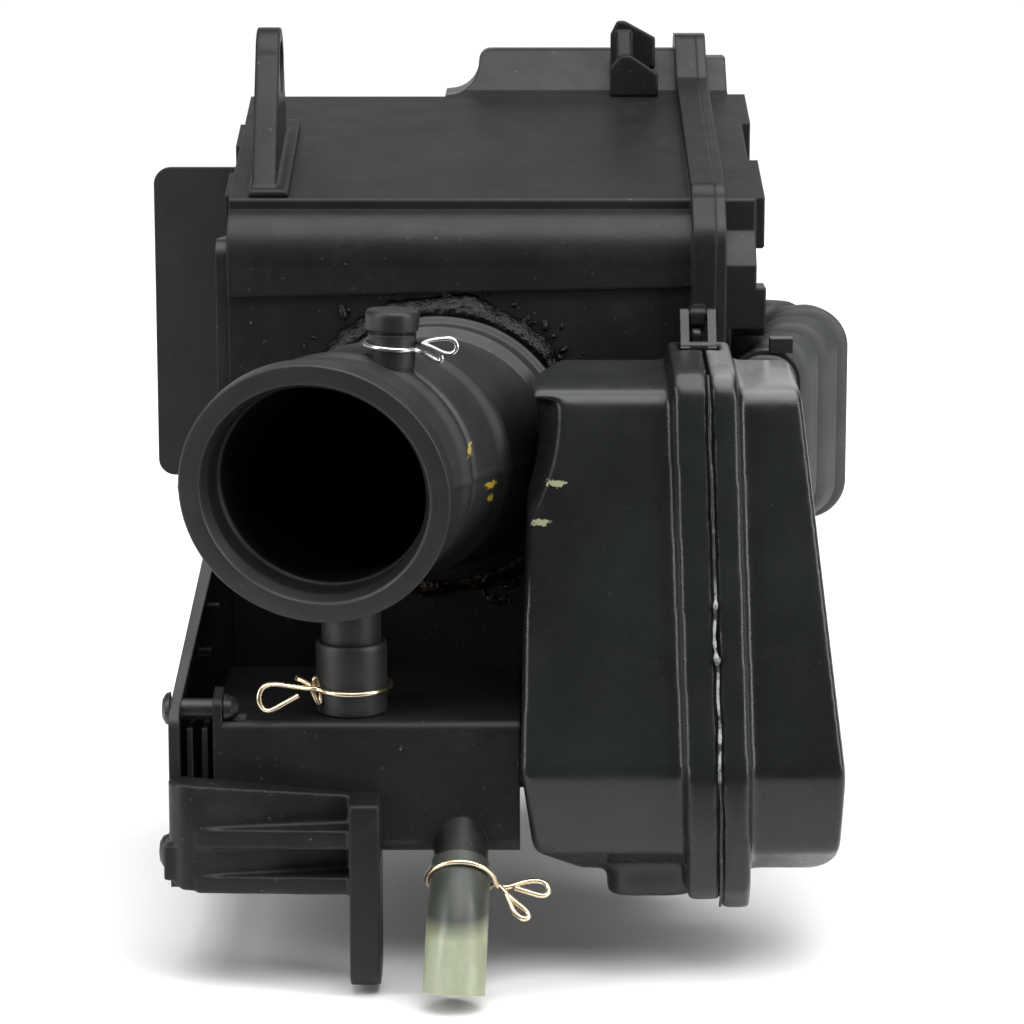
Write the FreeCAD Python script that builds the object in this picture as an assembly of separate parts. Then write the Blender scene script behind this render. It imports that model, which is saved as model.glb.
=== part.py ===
import FreeCAD, Part
import math
import os

# Air filter housing for a small engine.  Millimetres, +Z up.
# Every solid is designed from one datum: Y = 0 is the outer face of the main case's
# front wall, +Y runs back into the case and +X runs towards the filter cover.
# keep() then moves it so that the origin is the centre of the upper ear's hole.

V = FreeCAD.Vector
os.makedirs("parts", exist_ok=True)

# --- driving dimensions -------------------------------------------------------
WALL = 2.5                       # moulded wall thickness
FIT = 0.05                       # gap left where one piece sits on another
CASE_LEFT = -62.5                # outer face of the main case's left wall
CASE_BACK = 84.0                 # outer face of its back wall
CASE_BOTTOM = -64.0
FRONT_SHOULDER = 6.5             # depth where the front roll ends and the roof begins
ROOF_FRONT = 69.0                # height of the roof at the shoulder
ROOF_BACK = 86.0                 # height of the roof at the back wall
ROLL_TOP = 66.5                  # height where the rolled front edge meets the shoulder
SKIRT_PROUD = 1.5                # how far the roof skirt overhangs the front wall
SKIRT_LEFT = 48.3                # height of the skirt's lower edge at its left end
SKIRT_RIGHT = 50.5               # and at its right end
BAY_LEFT = -8.0                  # raised rear bay
BAY_FLARE = 8.0                  # width of the concave flare at the bay's left side
BAY_BACK = 104.0
BAY_TOP = 96.2
BAY_BOTTOM = -40.0
FLANGE_LEFT = 39.5               # seam flange of the main case
SEAM = 44.6                      # plane where the filter cover meets the case
FLANGE_RIGHT = 46.8
FLANGE_PROUD = 3.5
COVER_RIGHT = 53.7               # outer face of the filter cover
PAD_RIGHT = 55.8                 # outer face of its screw pads
NOTCH_RIGHT = 48.2               # cover wall where the intake elbow passes
NOTCH_BACK = 24.0
NOTCH_TOP = 41.0
CASE_SCREWS_Z = (60, 5)          # heights of the screws that hold the back plate
BACK_SCREW_X = -45.0
BODY = [
    (0, CASE_BOTTOM, 3),
    (0, 55),
    (FRONT_SHOULDER, 62),
    (FRONT_SHOULDER, ROOF_FRONT, 1),
    (CASE_BACK - 3, ROOF_BACK, 2),
    (CASE_BACK, ROOF_BACK - 3),
    (CASE_BACK, CASE_BOTTOM, 3),
]
BAY = [
    (70, BAY_BOTTOM),
    (70, ROOF_BACK - 3),
    (CASE_BACK, ROOF_BACK + 1),
    (96, BAY_TOP, 3),
    (BAY_BACK, BAY_TOP, 3),
    (BAY_BACK, BAY_BOTTOM, 3),
]
SCREW_SPOTS = [(74, 79), (13, 61.5), (5.2, 43), (5.5, -58.5), (78.5, -58.5), (97.5, 30)]
LEFT_PADS = [(12, 27), (46, 62)]    # raised pads on the case's left wall, along Y
DRAIN_PASSAGE = (-42, -8, -59, -43)  # X and Z of the window from the case into the sump

EAR_CENTRE = V(-54.9, 35.0, 95.9)
EAR_HOLE_R = 6.0
EAR_R = 9.0
EAR_THICK = 5.4

SUMP_LEFT = -63.0
SUMP_RIGHT = 1.7
SUMP_FRONT = -50.0
SUMP_TOP = -35.3

BOOT_BASE = V(-15.9, 0.0, 14.8)  # where the boot's axis meets the front wall
BOOT_LIP = V(-40.9, -58.0, 14.6) # centre of its lip, offset towards -X
BOOT_FACE = V(-0.156, -0.968, -0.197).normalize()    # the way the lip faces
BOOT_LIP_R = 28.6
BOOT_BORE_R = 22.7
BOOT_MOUTH = 5.5                 # length of the true cylinder at the lip
BOOT_THROAT_R = 21.9             # bore between the mouth and the neck
BOOT_FLANGE_R = 29.6
BOOT_HOLE_R = 26.0
BOOT_GAP_R = 31.8                # round clearance that the resonator leaves for the boot

BREATHER = V(-25.1, -45.0, 37.0)     # foot of the upper breather spigot
SPIGOT_TALL = 10.0               # the spigot's height above its foot
PLUG_SKIRT = 4.2                 # how far the plug's skirt reaches down the spigot
LOWER_BREATHER = V(-34.1, -40.0, 0)  # axis of the lower breather

PANEL_THICK = 2.2
WING_LEFT = -72.2                # outer face of the side panel's lower wing
WING_WEB = (2.0, 4.0)            # depth of the web that closes the wing against the case
WING_PEGS = [(-68.5, -64.4, -19.3), (-70.3, -66.4, -29.4)]   # X from, X to, Z
PEG_DEPTH = -10.0
BRACKET_FRONT = -58.0
RIVET_AT = (-46.0, -33.4)        # Y, Z of the upper push rivet
BRACKET_RIVET_AT = (-47.0, -64.3)
TAB_LEFT = -34.0
TAB_RIGHT = -27.6
TAB_FRONT = -62.0
TAB_BACK = -44.0
TAB_BOTTOM = -90.8
TAB_HOLE = V(0, -53.0, -81.5)
TAB_HOLE_R = 4.2

RES_SEAM = (41.2, 44.2)          # seam of the two resonator halves, at its top and bottom
RES_BACK = -6.0
RES_WALL = 2.2
SCOOP_CENTRE = V(-33.2, -37.4, 28.3)         # where the scoop's axis meets the front face
SCOOP_WAY = V(0, -0.961, 0.274)  # square to the front face, out of it
SCOOP_R = 43.0                   # the conical scoop's radius at the front face
SCOOP_TAPER = 0.54               # how much it narrows for each millimetre inward
SCOOP_DEEP = 24.0
SCOOP_TOP = 31.0
RES_SIDE = [
    (RES_BACK, 36.2, 4),
    (-36, 33.2, 6),
    (-58, -44, 5),
    (-54, -62.5, 5),
    (-38, -71, 6),
    (RES_BACK, -71, 5),
]
RES_FACE = [
    (3.8, 38, 5),
    (1.8, -44, 6),
    (4.5, -63, 5),
    (16, -72, 5),
    (69.0, -71.5, 7),
    (70.0, -46, 6),
    (60.4, 38, 5),
]
BAND_SIDE = [
    (RES_BACK + 0.6, 40.4, 5),
    (-38.8, 37.0, 8),
    (-60.8, -44.5, 6),
    (-57.2, -70, 6),
    (-50, -76.4, 5),
    (RES_BACK + 0.6, -76.4, 5),
]
BAND_LEFT = (33.4, 37.2)         # the band's left edge at its top and bottom
BAND_RIGHT = (47.4, 50.6)        # and its right edge
BAND_Z = (40.0, -76.0)
BAND_STEP = -73.4                # the inner half's band stops this low
RES_SCREW_SPOTS = [(22.0, 27.0), (22.0, -38.0)]
INLET_LEFT = 20.5                # rectangular inlet collar under the resonator
INLET_RIGHT = 39.0
INLET_FRONT = -44.0
INLET_BACK = -12.0
INLET_BOTTOM = -75.6

DRAIN_START = V(-10.8, -50.0, -63.5)
DRAIN_LEAN = 50.0                # degrees from vertical where it leaves the sump
DRAIN_SIDE = 3.0                 # degrees that it swings towards -X
DRAIN_TURN = 35.0                # degrees that gravity bends it back
DRAIN_BEND_R = 30.0
DRAIN_R = 6.5
HOSE_START = 4.0                 # distance from the sump face to the hose's top end
HOSE_STRAIGHT = 6.0
HOSE_TAIL = 4.0
DRAIN_BORE_R = 5.0


LATCH_LUG = [(-9.0, 43.2), (-9.0, 46.8, 1.5), (-3.0, 46.8), (-3.0, 41.0)]
LATCH_PIVOT = V(0, -6.9, 44.9)
LATCH_PIN_R = 1.2
LATCH_LEFT = 36.5                # outer face of the bail's left arm
LATCH_WIDTH = 7.8

ELBOW_Z = (-6.0, 42.6)
ELBOW_AXIS = V(53.9, NOTCH_BACK, 0)
ELBOW_INSIDE = 1.5
ELBOW_WIDTH = 20.8
ELBOW_WALL = 2.5
ELBOW_MOUTH_X = (48.9, 62.4)
ELBOW_MOUTH_Z = (-1.0, 36.0)

WINDOW = (14.0, 69.0, -48.0, 52.0)
ELEMENT_LEFT = 24.0
PLATE_LEFT = 41.6

# --- helpers ------------------------------------------------------------------
def keep(name, shape):
    """Move a finished piece into the part's frame and write it."""
    moved = shape.copy()
    moved.translate(EAR_CENTRE * -1)
    moved.exportStep("parts/" + name + ".step")
    print(name, len(moved.Solids), round(moved.Volume), moved.isValid())


def on_x(a, b):
    return V(0, a, b)


def on_y(a, b):
    return V(a, 0, b)


def on_z(a, b):
    return V(a, b, 0)


def outline(points, place):
    """Closed wire through (a, b) or (a, b, corner radius) points in one plane."""
    count = len(points)
    starts = []
    ends = []
    for index in range(count):
        here = points[index]
        before = points[index - 1]
        after = points[(index + 1) % count]
        centre = place(here[0], here[1])
        radius = here[2] if len(here) > 2 else 0
        to_before = (place(before[0], before[1]) - centre).normalize()
        to_after = (place(after[0], after[1]) - centre).normalize()
        half = to_before.getAngle(to_after) / 2
        reach = radius / math.tan(half) if radius else 0
        starts.append(centre + to_before * reach)
        ends.append(centre + to_after * reach)
    edges = []
    for index in range(count):
        here = points[index]
        radius = here[2] if len(here) > 2 else 0
        if radius:
            centre = place(here[0], here[1])
            middle_way = ((starts[index] - centre) + (ends[index] - centre)).normalize()
            half = (starts[index] - centre).getAngle(middle_way)
            depth = radius / math.sin(half) - radius
            arc = Part.Arc(starts[index], centre + middle_way * depth, ends[index])
            edges.append(arc.toShape())
        leave = ends[index]
        arrive = starts[(index + 1) % count]
        if (arrive - leave).Length > 1e-6:
            edges.append(Part.LineSegment(leave, arrive).toShape())
    return Part.Wire(edges)


def prism(wire, start, way):
    """Solid swept from a wire's face, moved by start, along way."""
    face = Part.Face(wire)
    face.translate(start)
    return face.extrude(way)


def prism_x(points, x0, x1):
    return prism(outline(points, on_x), V(x0, 0, 0), V(x1 - x0, 0, 0))


def prism_y(points, y0, y1):
    return prism(outline(points, on_y), V(0, y0, 0), V(0, y1 - y0, 0))


def prism_z(points, z0, z1):
    return prism(outline(points, on_z), V(0, 0, z0), V(0, 0, z1 - z0))


def box(x0, x1, y0, y1, z0, z1):
    return Part.makeBox(x1 - x0, y1 - y0, z1 - z0, V(x0, y0, z0))


def rod(start, way, radius, length):
    return Part.makeCylinder(radius, length, start, way)


def pipe(start, way, radius, bore, length):
    return rod(start, way, radius, length).cut(rod(start, way, bore, length))


def grown(points, place, distance):
    """The outline of points moved outward by distance, inward if negative."""
    return outline(points, place).makeOffset2D(distance)


def grown_prism_x(points, distance, x0, x1):
    return prism(grown(points, on_x, distance), V(x0, 0, 0), V(x1 - x0, 0, 0))


def fuse_all(shapes):
    joined = shapes[0]
    for shape in shapes[1:]:
        joined = joined.fuse(shape)
    return joined.removeSplitter()


def cut_all(shape, tools):
    for tool in tools:
        shape = shape.cut(tool)
    return shape


def rectangle(a0, a1, b0, b1, radius):
    return [(a0, b0, radius), (a1, b0, radius), (a1, b1, radius), (a0, b1, radius)]


def lathe(points, start, way):
    """Solid of revolution from (distance along way, radius) points."""
    wire = Part.makePolygon([V(r, 0, s) for s, r in points + points[:1]])
    solid = Part.Face(wire).revolve(V(0, 0, 0), V(0, 0, 1), 360)
    turn = FreeCAD.Rotation(V(0, 0, 1), way)
    solid.Placement = FreeCAD.Placement(start, turn)
    return solid


# --- the case outlines, as (Y, Z, corner radius) -------------------------------


def skirt():
    """Rolled front edge of the roof, overhanging the wall down to a slanted edge."""
    low = 44.0
    roll = Part.Arc(V(0, -SKIRT_PROUD, 55), V(0, 0.6, 63.0), V(0, FRONT_SHOULDER, ROLL_TOP))
    edges = [
        Part.LineSegment(V(0, -SKIRT_PROUD, low), V(0, -SKIRT_PROUD, 55)).toShape(),
        roll.toShape(),
        Part.LineSegment(V(0, FRONT_SHOULDER, ROLL_TOP), V(0, FRONT_SHOULDER, low)).toShape(),
        Part.LineSegment(V(0, FRONT_SHOULDER, low), V(0, -SKIRT_PROUD, low)).toShape(),
    ]
    length = FLANGE_LEFT - CASE_LEFT
    strip = prism(Part.Wire(edges), V(CASE_LEFT, 0, 0), V(length, 0, 0))
    above = [
        (CASE_LEFT - 1, SKIRT_LEFT),
        (FLANGE_LEFT + 1, SKIRT_RIGHT),
        (FLANGE_LEFT + 1, 80),
        (CASE_LEFT - 1, 80),
    ]
    return strip.common(prism_y(above, -5, 10))


def bay_outer(x1):
    """Raised rear bay, whose left side flares into the roof."""
    flare = [
        (BAY_LEFT - BAY_FLARE, BAY_BOTTOM - 1),
        (BAY_LEFT - BAY_FLARE, ROOF_BACK),
        (BAY_LEFT, ROOF_BACK + 1, 7),
        (BAY_LEFT, BAY_TOP, 3),
        (x1, BAY_TOP),
        (x1, BAY_BOTTOM - 1),
    ]
    return prism_x(BAY, BAY_LEFT - BAY_FLARE, x1).common(prism_y(flare, 60, BAY_BACK + 1))


def case_hollow(x0, x1):
    body = grown_prism_x(BODY, -WALL, x0, x1)
    bay = grown_prism_x(BAY, -WALL, max(x0, BAY_LEFT + WALL + 1), x1)
    return body.fuse(bay)


def flange_ring(x0, x1):
    """The flange's outer outline, standing proud of the case all round."""
    front_roll = [
        (-SKIRT_PROUD, CASE_BOTTOM, 3),
        (-SKIRT_PROUD, 62, 5),
        (FRONT_SHOULDER, ROOF_FRONT),
        (FRONT_SHOULDER, CASE_BOTTOM),
    ]
    plate = grown_prism_x(BODY, FLANGE_PROUD, x0, x1)
    plate = plate.fuse(grown_prism_x(front_roll, FLANGE_PROUD - SKIRT_PROUD + 0.6, x0, x1))
    return plate.fuse(grown_prism_x(BAY, FLANGE_PROUD, x0, x1))


def screw_bosses(x0, x1, radius):
    return [rod(V(x0, y, z), V(1, 0, 0), radius, x1 - x0) for y, z in SCREW_SPOTS]


# --- main shells ----------------------------------------------------------------
CASE_OUTER = fuse_all([prism_x(BODY, CASE_LEFT, SEAM), skirt(), bay_outer(SEAM)])


def main_case():
    shell = CASE_OUTER.fuse(flange_ring(FLANGE_LEFT, SEAM))
    shell = shell.cut(case_hollow(CASE_LEFT + WALL, SEAM + 1))
    shell = fuse_all([shell] + screw_bosses(28, SEAM, 4.2))
    for y0, y1 in LEFT_PADS:
        pad = [(y0, roof(y0) - 8), (y0, roof(y0) - 1), (y1, roof(y1) - 1), (y1, roof(y1) - 8)]
        shell = shell.fuse(prism_x(pad, CASE_LEFT - 1.2, CASE_LEFT + 1))
    lug = prism_x(LATCH_LUG, LATCH_LEFT + 2.2, LATCH_LEFT + 5.6)
    shell = shell.fuse(lug)
    seal_groove = grown_prism_x(BODY, 1.6, SEAM - 1.2, SEAM + 1).fuse(
        grown_prism_x(BAY, 1.6, SEAM - 1.2, SEAM + 1))
    seal_groove = seal_groove.cut(grown_prism_x(BODY, -0.6, SEAM - 2, SEAM + 2))
    seal_groove = seal_groove.cut(grown_prism_x(BAY, -0.6, SEAM - 2, SEAM + 2))
    tools = [seal_groove]
    tools += screw_bosses(30, SEAM + 1, 1.5)
    tools.append(rod(BOOT_BASE + V(0, -5, 0), V(0, 1, 0), BOOT_HOLE_R, 12))
    tools.append(rod(V(30, LATCH_PIVOT.y, LATCH_PIVOT.z), V(1, 0, 0), LATCH_PIN_R + FIT, 20))
    for x, z in RES_SCREW_SPOTS:
        tools.append(rod(V(x, -5, z), V(0, 1, 0), 2.1, 12))
    x0, x1, z0, z1 = DRAIN_PASSAGE
    tools.append(prism_y(rectangle(x0, x1, z0, z1, 4), -5, 7))
    for z in CASE_SCREWS_Z:
        tools.append(rod(V(BACK_SCREW_X, CASE_BACK - 5, z), V(0, 1, 0), 1.6, 10))
    return cut_all(shell, tools)


def cover_seal():
    ring = grown_prism_x(BODY, 1.5, SEAM - 1.15, SEAM).fuse(
        grown_prism_x(BAY, 1.5, SEAM - 1.15, SEAM))
    ring = ring.cut(grown_prism_x(BODY, -0.5, SEAM - 2, SEAM + 2))
    return ring.cut(grown_prism_x(BAY, -0.5, SEAM - 2, SEAM + 2))


def screw_seat(y, z):
    """X of the outer end of the cover's boss for the screw at (y, z)."""
    in_notch = y < NOTCH_BACK and z < NOTCH_TOP
    return NOTCH_RIGHT + 2 if in_notch else PAD_RIGHT


def filter_cover():
    bay = bay_outer(COVER_RIGHT - 2).common(box(SEAM, 60, 60, 120, -80, BAY_TOP - 2))
    shell = fuse_all([prism_x(BODY, SEAM, COVER_RIGHT), bay])
    notch = box(NOTCH_RIGHT, 60, -10, NOTCH_BACK, -80, NOTCH_TOP)
    shell = shell.cut(notch)
    rim = flange_ring(SEAM, FLANGE_RIGHT)
    hollow = case_hollow(SEAM - 1, COVER_RIGHT - WALL)
    hollow = hollow.cut(box(SEAM + 2, 60, 60, 120, BAY_TOP - 2 - WALL, 120))
    notch_skin = box(NOTCH_RIGHT - WALL, 60, -10, NOTCH_BACK + WALL, -80, NOTCH_TOP + WALL)
    hollow = hollow.cut(notch_skin)
    shell = shell.fuse(rim).cut(hollow)
    pads = []
    for y0, y1 in ((60, 82), (7.5, 33)):
        pad = prism_x([(y0, roof(y0) - 11), (y0, roof(y0)), (y1, roof(y1)), (y1, roof(y1) - 11)],
                      COVER_RIGHT - WALL, PAD_RIGHT)
        pads.append(pad)
    pads.append(box(COVER_RIGHT - WALL, PAD_RIGHT, 0, 9.5, NOTCH_TOP, 50))
    for y, z in SCREW_SPOTS[3:]:
        right = NOTCH_RIGHT + 2 if y < NOTCH_BACK else PAD_RIGHT
        pads.append(rod(V(SEAM + 1, y, z), V(1, 0, 0), 5.2, right - SEAM - 1))
    shell = fuse_all([shell] + pads)
    for y, z in SCREW_SPOTS:
        shell = shell.fuse(rod(V(SEAM, y, z), V(1, 0, 0), 4.2, screw_seat(y, z) - SEAM))
    tools = [rod(V(SEAM - 1, y, z), V(1, 0, 0), 2.1, 20) for y, z in SCREW_SPOTS]
    for y, z in SCREW_SPOTS:
        tools.append(rod(V(screw_seat(y, z) - 2.3, y, z), V(1, 0, 0), 3.7, 20))
    collar = elbow_collar()
    shell = shell.fuse(prism_x(collar, COVER_RIGHT - WALL, COVER_RIGHT + 3.2))
    port = prism(outline(collar, on_x).makeOffset2D(-1.8), V(SEAM + 3, 0, 0), V(20, 0, 0))
    tools.append(port)
    return cut_all(shell, tools).removeSplitter()


def roof(y):
    """Height of the case roof's outer face at depth y."""
    rise = (ROOF_BACK - ROOF_FRONT) / (CASE_BACK - 3 - FRONT_SHOULDER)
    return ROOF_FRONT + rise * (y - FRONT_SHOULDER)


def elbow_collar():
    """Outline, in (Y, Z), of the cover's collar inside the elbow's rear mouth."""
    y0 = NOTCH_BACK + ELBOW_INSIDE + ELBOW_WALL + 0.3
    y1 = NOTCH_BACK + ELBOW_INSIDE + ELBOW_WIDTH - ELBOW_WALL - 0.6
    z0 = ELBOW_Z[0] + ELBOW_WALL + 0.3
    z1 = ELBOW_Z[1] - ELBOW_WALL - 0.3
    return rectangle(y0, y1, z0, z1, 6)


def cover_screws():
    shapes = []
    for y, z in SCREW_SPOTS:
        deep = screw_seat(y, z)
        head = rod(V(deep - 2.25, y, z), V(1, 0, 0), 3.5, 2.0)
        cross = box(deep - 1.3, deep + 1, y - 2.2, y + 2.2, z - 0.4, z + 0.4)
        cross = cross.fuse(box(deep - 1.3, deep + 1, y - 0.4, y + 0.4, z - 2.2, z + 2.2))
        shank = rod(V(33, y, z), V(1, 0, 0), 1.45, deep - 2.25 - 33)
        shapes.append(head.cut(cross).fuse(shank))
    return Part.makeCompound(shapes)


# --- filter element -------------------------------------------------------------


def element_frame():
    y0, y1, z0, z1 = WINDOW
    plate = grown_prism_x(BODY, -WALL - 0.4, PLATE_LEFT, SEAM - 1.3)
    plate = cut_all(plate, screw_bosses(PLATE_LEFT - 1, SEAM, 4.6))
    tray = prism_x(rectangle(y0 - 2, y1 + 2, z0 - 2, z1 + 2, 4), ELEMENT_LEFT - 1.6, SEAM - 1.3)
    frame = plate.fuse(tray)
    frame = frame.cut(prism_x(rectangle(y0, y1, z0, z1, 3), ELEMENT_LEFT, SEAM + 1))
    pitch = (z1 - z0) / 5
    for row in range(5):
        low = z0 + row * pitch + 1.5
        frame = frame.cut(box(ELEMENT_LEFT - 3, ELEMENT_LEFT + 1, y0 + 2, y1 - 2, low, low + pitch - 3))
    return frame.removeSplitter()


def filter_element():
    y0, y1, z0, z1 = WINDOW
    return prism_x(rectangle(y0 + 0.3, y1 - 0.3, z0 + 0.3, z1 - 0.3, 3), ELEMENT_LEFT + 0.2, SEAM - 1.3)


# --- upper ear and hose guide -----------------------------------------------------
def upper_ear():
    y, z = EAR_CENTRE.y, EAR_CENTRE.z
    plate = [(8, 60), (8, 69), (y - EAR_R + 0.4, z + 3), (y + EAR_R, z), (60, 60)]
    blade = prism_x(plate, -EAR_THICK / 2, EAR_THICK / 2)
    blade = blade.fuse(rod(V(-EAR_THICK / 2, y, z), V(1, 0, 0), EAR_R, EAR_THICK))
    top = z + 3
    blade = blade.cut(box(-5, 5, y + 2, 90, top, top + 20).cut(
        rod(V(-5, y, z), V(1, 0, 0), EAR_R, 10)))
    blade.translate(V(EAR_CENTRE.x, 0, 0))
    foot = box(EAR_CENTRE.x - 3.4, EAR_CENTRE.x + 5.5, 7.2, 58, 60, 84)
    slope = prism_x([(0, roof(0) + 1.6), (0, 60), (90, 60), (90, roof(90) + 1.6)], -70, 0)
    ear = blade.fuse(foot.common(slope))
    ear = ear.cut(rod(V(-70, y, z), V(1, 0, 0), EAR_HOLE_R, 30))
    return ear.cut(CASE_OUTER).removeSplitter()


def hose_guide():
    near_face = [(23.5, 80), (23.5, 92.8), (26.4, 95.6, 1), (28.4, 95.6, 1), (35, 91.2), (35, 80)]
    far_face = [(23.8, 84), (23.8, 100), (25.4, 103.2, 1), (27.2, 103.2, 1), (34.6, 99.2), (34.6, 84)]
    front = prism_y(near_face, 79.5, 81.7)
    rear = prism_y(far_face, 90, 92.4)
    web = prism_x([(80, 80), (80, 94.6), (91, 101.6), (91, 80)], 25.2, 28.6)
    guide = fuse_all([front, rear, web])
    return guide.cut(CASE_OUTER).removeSplitter()


# --- left side ---------------------------------------------------------------------


def side_panel():
    """Left cover: an upper plate, and a lower wing that flares out towards the front."""
    outer = CASE_LEFT - 2.6
    upper = [(0.5, 4), (0.5, 60.8, 4), (83, 53.5, 4), (83, 4)]
    panel = prism_x(upper, outer, CASE_LEFT)
    bend = [
        (outer, 6),
        (WING_LEFT, -33),
        (WING_LEFT, -70.8),
        (WING_LEFT + PANEL_THICK, -70.8),
        (WING_LEFT + PANEL_THICK, -32.6),
        (CASE_LEFT, 4),
        (CASE_LEFT, 6),
    ]
    side = [(0.5, 6), (-52, -35, 4), (-52, -70.8), (60, -70.8, 20), (83, 6)]
    wing = prism_y(bend, -60, 90).common(prism_x(side, -80, -50))
    rib_x = (-68.6, -65.4)
    ribs = []
    for x in rib_x:
        ribs.append(box(x, x + 1.2, -49, -30, -70, -37))
    floor = box(WING_LEFT + 1, SUMP_LEFT - FIT, -49, -28, -70.8, -68.8)
    web = prism_y(
        [
            (WING_LEFT + 1, -33),
            (CASE_LEFT - 1.2, 4.5),
            (CASE_LEFT, 4.5),
            (CASE_LEFT, -70.8),
            (WING_LEFT + 1, -70.8),
        ],
        WING_WEB[0], WING_WEB[1])
    pegs = [rod(V(x0, PEG_DEPTH, z), V(1, 0, 0), 1.0, x1 - x0) for x0, x1, z in WING_PEGS]
    panel = fuse_all([panel, wing, floor, web] + ribs + pegs)
    hole_y, hole_z = RIVET_AT
    panel = panel.cut(rod(V(-90, hole_y, hole_z), V(1, 0, 0), 2.3, 25))
    hole_y, hole_z = BRACKET_RIVET_AT
    panel = panel.cut(rod(V(WING_LEFT + PANEL_THICK, hole_y, hole_z), V(1, 0, 0), 3.5, 3.0))
    return panel.cut(rod(V(-90, hole_y, hole_z), V(1, 0, 0), 2.3, 22.5))


def push_rivet(x, y, z, length):
    """Domed head outside, shank, and a splayed barbed tip."""
    shank = rod(V(x, y, z), V(1, 0, 0), 2.2, length)
    head = lathe([(0, 0), (0, 3.6), (0.9, 3.3), (1.6, 2.2), (1.9, 0)], V(x, y, z), V(-1, 0, 0))
    tip = lathe([(0, 0), (0, 3.1), (1.6, 2.6), (3.0, 1.2), (3.0, 0)], V(x + length, y, z), V(1, 0, 0))
    slot = box(x + length - 0.5, x + length + 6, y - 0.5, y + 0.5, z - 5, z + 5)
    return shank.fuse(head).fuse(tip).cut(slot)


def side_rivets():
    return push_rivet(WING_LEFT, RIVET_AT[0], RIVET_AT[1], 11.4)


def sump_box():
    """Collecting chamber in front of the case; the case's front wall closes its back."""
    outer = prism_x(
        [(0, CASE_BOTTOM), (SUMP_FRONT, CASE_BOTTOM, 3), (SUMP_FRONT, SUMP_TOP, 2), (0, SUMP_TOP)],
        SUMP_LEFT, SUMP_RIGHT)
    inner = box(SUMP_LEFT + WALL, SUMP_RIGHT - WALL, SUMP_FRONT + WALL, 1,
                CASE_BOTTOM + WALL, SUMP_TOP - WALL)
    lug = prism_x([(-50, -38), (-50, -31, 2), (-41, -28.8, 3), (-38, -38)], SUMP_LEFT, SUMP_LEFT + 2)
    foot = V(LOWER_BREATHER.x, LOWER_BREATHER.y, SUMP_TOP - 1)
    stub = rod(foot, V(0, 0, 1), 5.0, 9.0)
    way = drain_way(DRAIN_LEAN)
    nipple = swung(rod(DRAIN_START - way * 8, way, DRAIN_BORE_R - FIT, 20))
    nipple_boss = swung(rod(DRAIN_START - way * 8, way, 5.8, 8 + HOSE_START - FIT))
    body = fuse_all([outer, nipple, nipple_boss, stub])
    body = body.cut(inner)
    body = fuse_all([body, lug])
    body = body.cut(rod(foot - V(0, 0, 3), V(0, 0, 1), 3.2, 16))
    body = body.cut(swung(rod(DRAIN_START - way * 9, way, 3.4, 34)))
    hole_y, hole_z = RIVET_AT
    body = body.cut(rod(V(SUMP_LEFT - 2, hole_y, hole_z), V(1, 0, 0), 2.3, 6))
    body = body.cut(rod(V(SUMP_LEFT + 2, hole_y, hole_z), V(1, 0, 0), 3.4, 4.8))
    return body.common(box(-90, 20, -120, 0, -100, 0)).removeSplitter()


# --- lower bracket -------------------------------------------------------------------
def lower_bracket():
    """Corner bracket: a face plate, two gussets and the lower mounting tab."""
    face_outline = [
        (WING_LEFT, -46.6),
        (TAB_LEFT + 1, -50.4),
        (TAB_LEFT + 1, -70.6),
        (WING_LEFT, -69.8, 4),
    ]
    face = prism_y(face_outline, -62, SUMP_FRONT - FIT)
    plan = [
        (WING_LEFT, -50.05),
        (WING_LEFT, BRACKET_FRONT, 4.5),
        (WING_LEFT + 6.5, BRACKET_FRONT, 2),
        (TAB_LEFT + 1, -53.2),
        (TAB_LEFT + 1, -50.05),
    ]
    face = face.common(prism_z(plan, -80, -40))
    gussets = []
    for z0, z1 in ((-60.6, -56.4), (-70.4, -66.6)):
        wedge = [
            (WING_LEFT + 6, -51),
            (WING_LEFT + 6, BRACKET_FRONT - 0.3),
            (TAB_LEFT + 1, BRACKET_FRONT - 1.5),
            (TAB_LEFT + 1, -51),
        ]
        gussets.append(prism_z(wedge, z0, z1))
    tab_outline = [
        (TAB_FRONT, -50.2, 1),
        (TAB_BACK, -50.2),
        (TAB_BACK, TAB_BOTTOM, 6),
        (TAB_FRONT, TAB_BOTTOM, 6),
    ]
    tab = prism_x(tab_outline, TAB_LEFT, TAB_RIGHT)
    cheek = box(WING_LEFT - 1.0, WING_LEFT - FIT, -57, -40, -68.0, -60.5)
    cheek = cheek.fuse(box(WING_LEFT - 1.0, WING_LEFT + 1.5, -57, -52.2, -68.0, -60.5))
    bracket = fuse_all([face, tab, cheek] + gussets)
    bracket = bracket.cut(rod(V(TAB_LEFT - 5, TAB_HOLE.y, TAB_HOLE.z), V(1, 0, 0), TAB_HOLE_R, 20))
    rivet_y, rivet_z = BRACKET_RIVET_AT
    bracket = bracket.cut(rod(V(WING_LEFT - 5, rivet_y, rivet_z), V(1, 0, 0), 2.3, 10))
    bracket = bracket.cut(box(SUMP_LEFT - 0.3, 10, SUMP_FRONT - FIT, 0, -64.3, -30))
    bracket = bracket.cut(box(WING_LEFT - FIT, WING_LEFT + PANEL_THICK + FIT, -52 - FIT, 0, -80, -30))
    return bracket.removeSplitter()


def bracket_fasteners():
    rivet_y, rivet_z = BRACKET_RIVET_AT
    return push_rivet(WING_LEFT - 1.0, rivet_y, rivet_z, 3.4)


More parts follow.
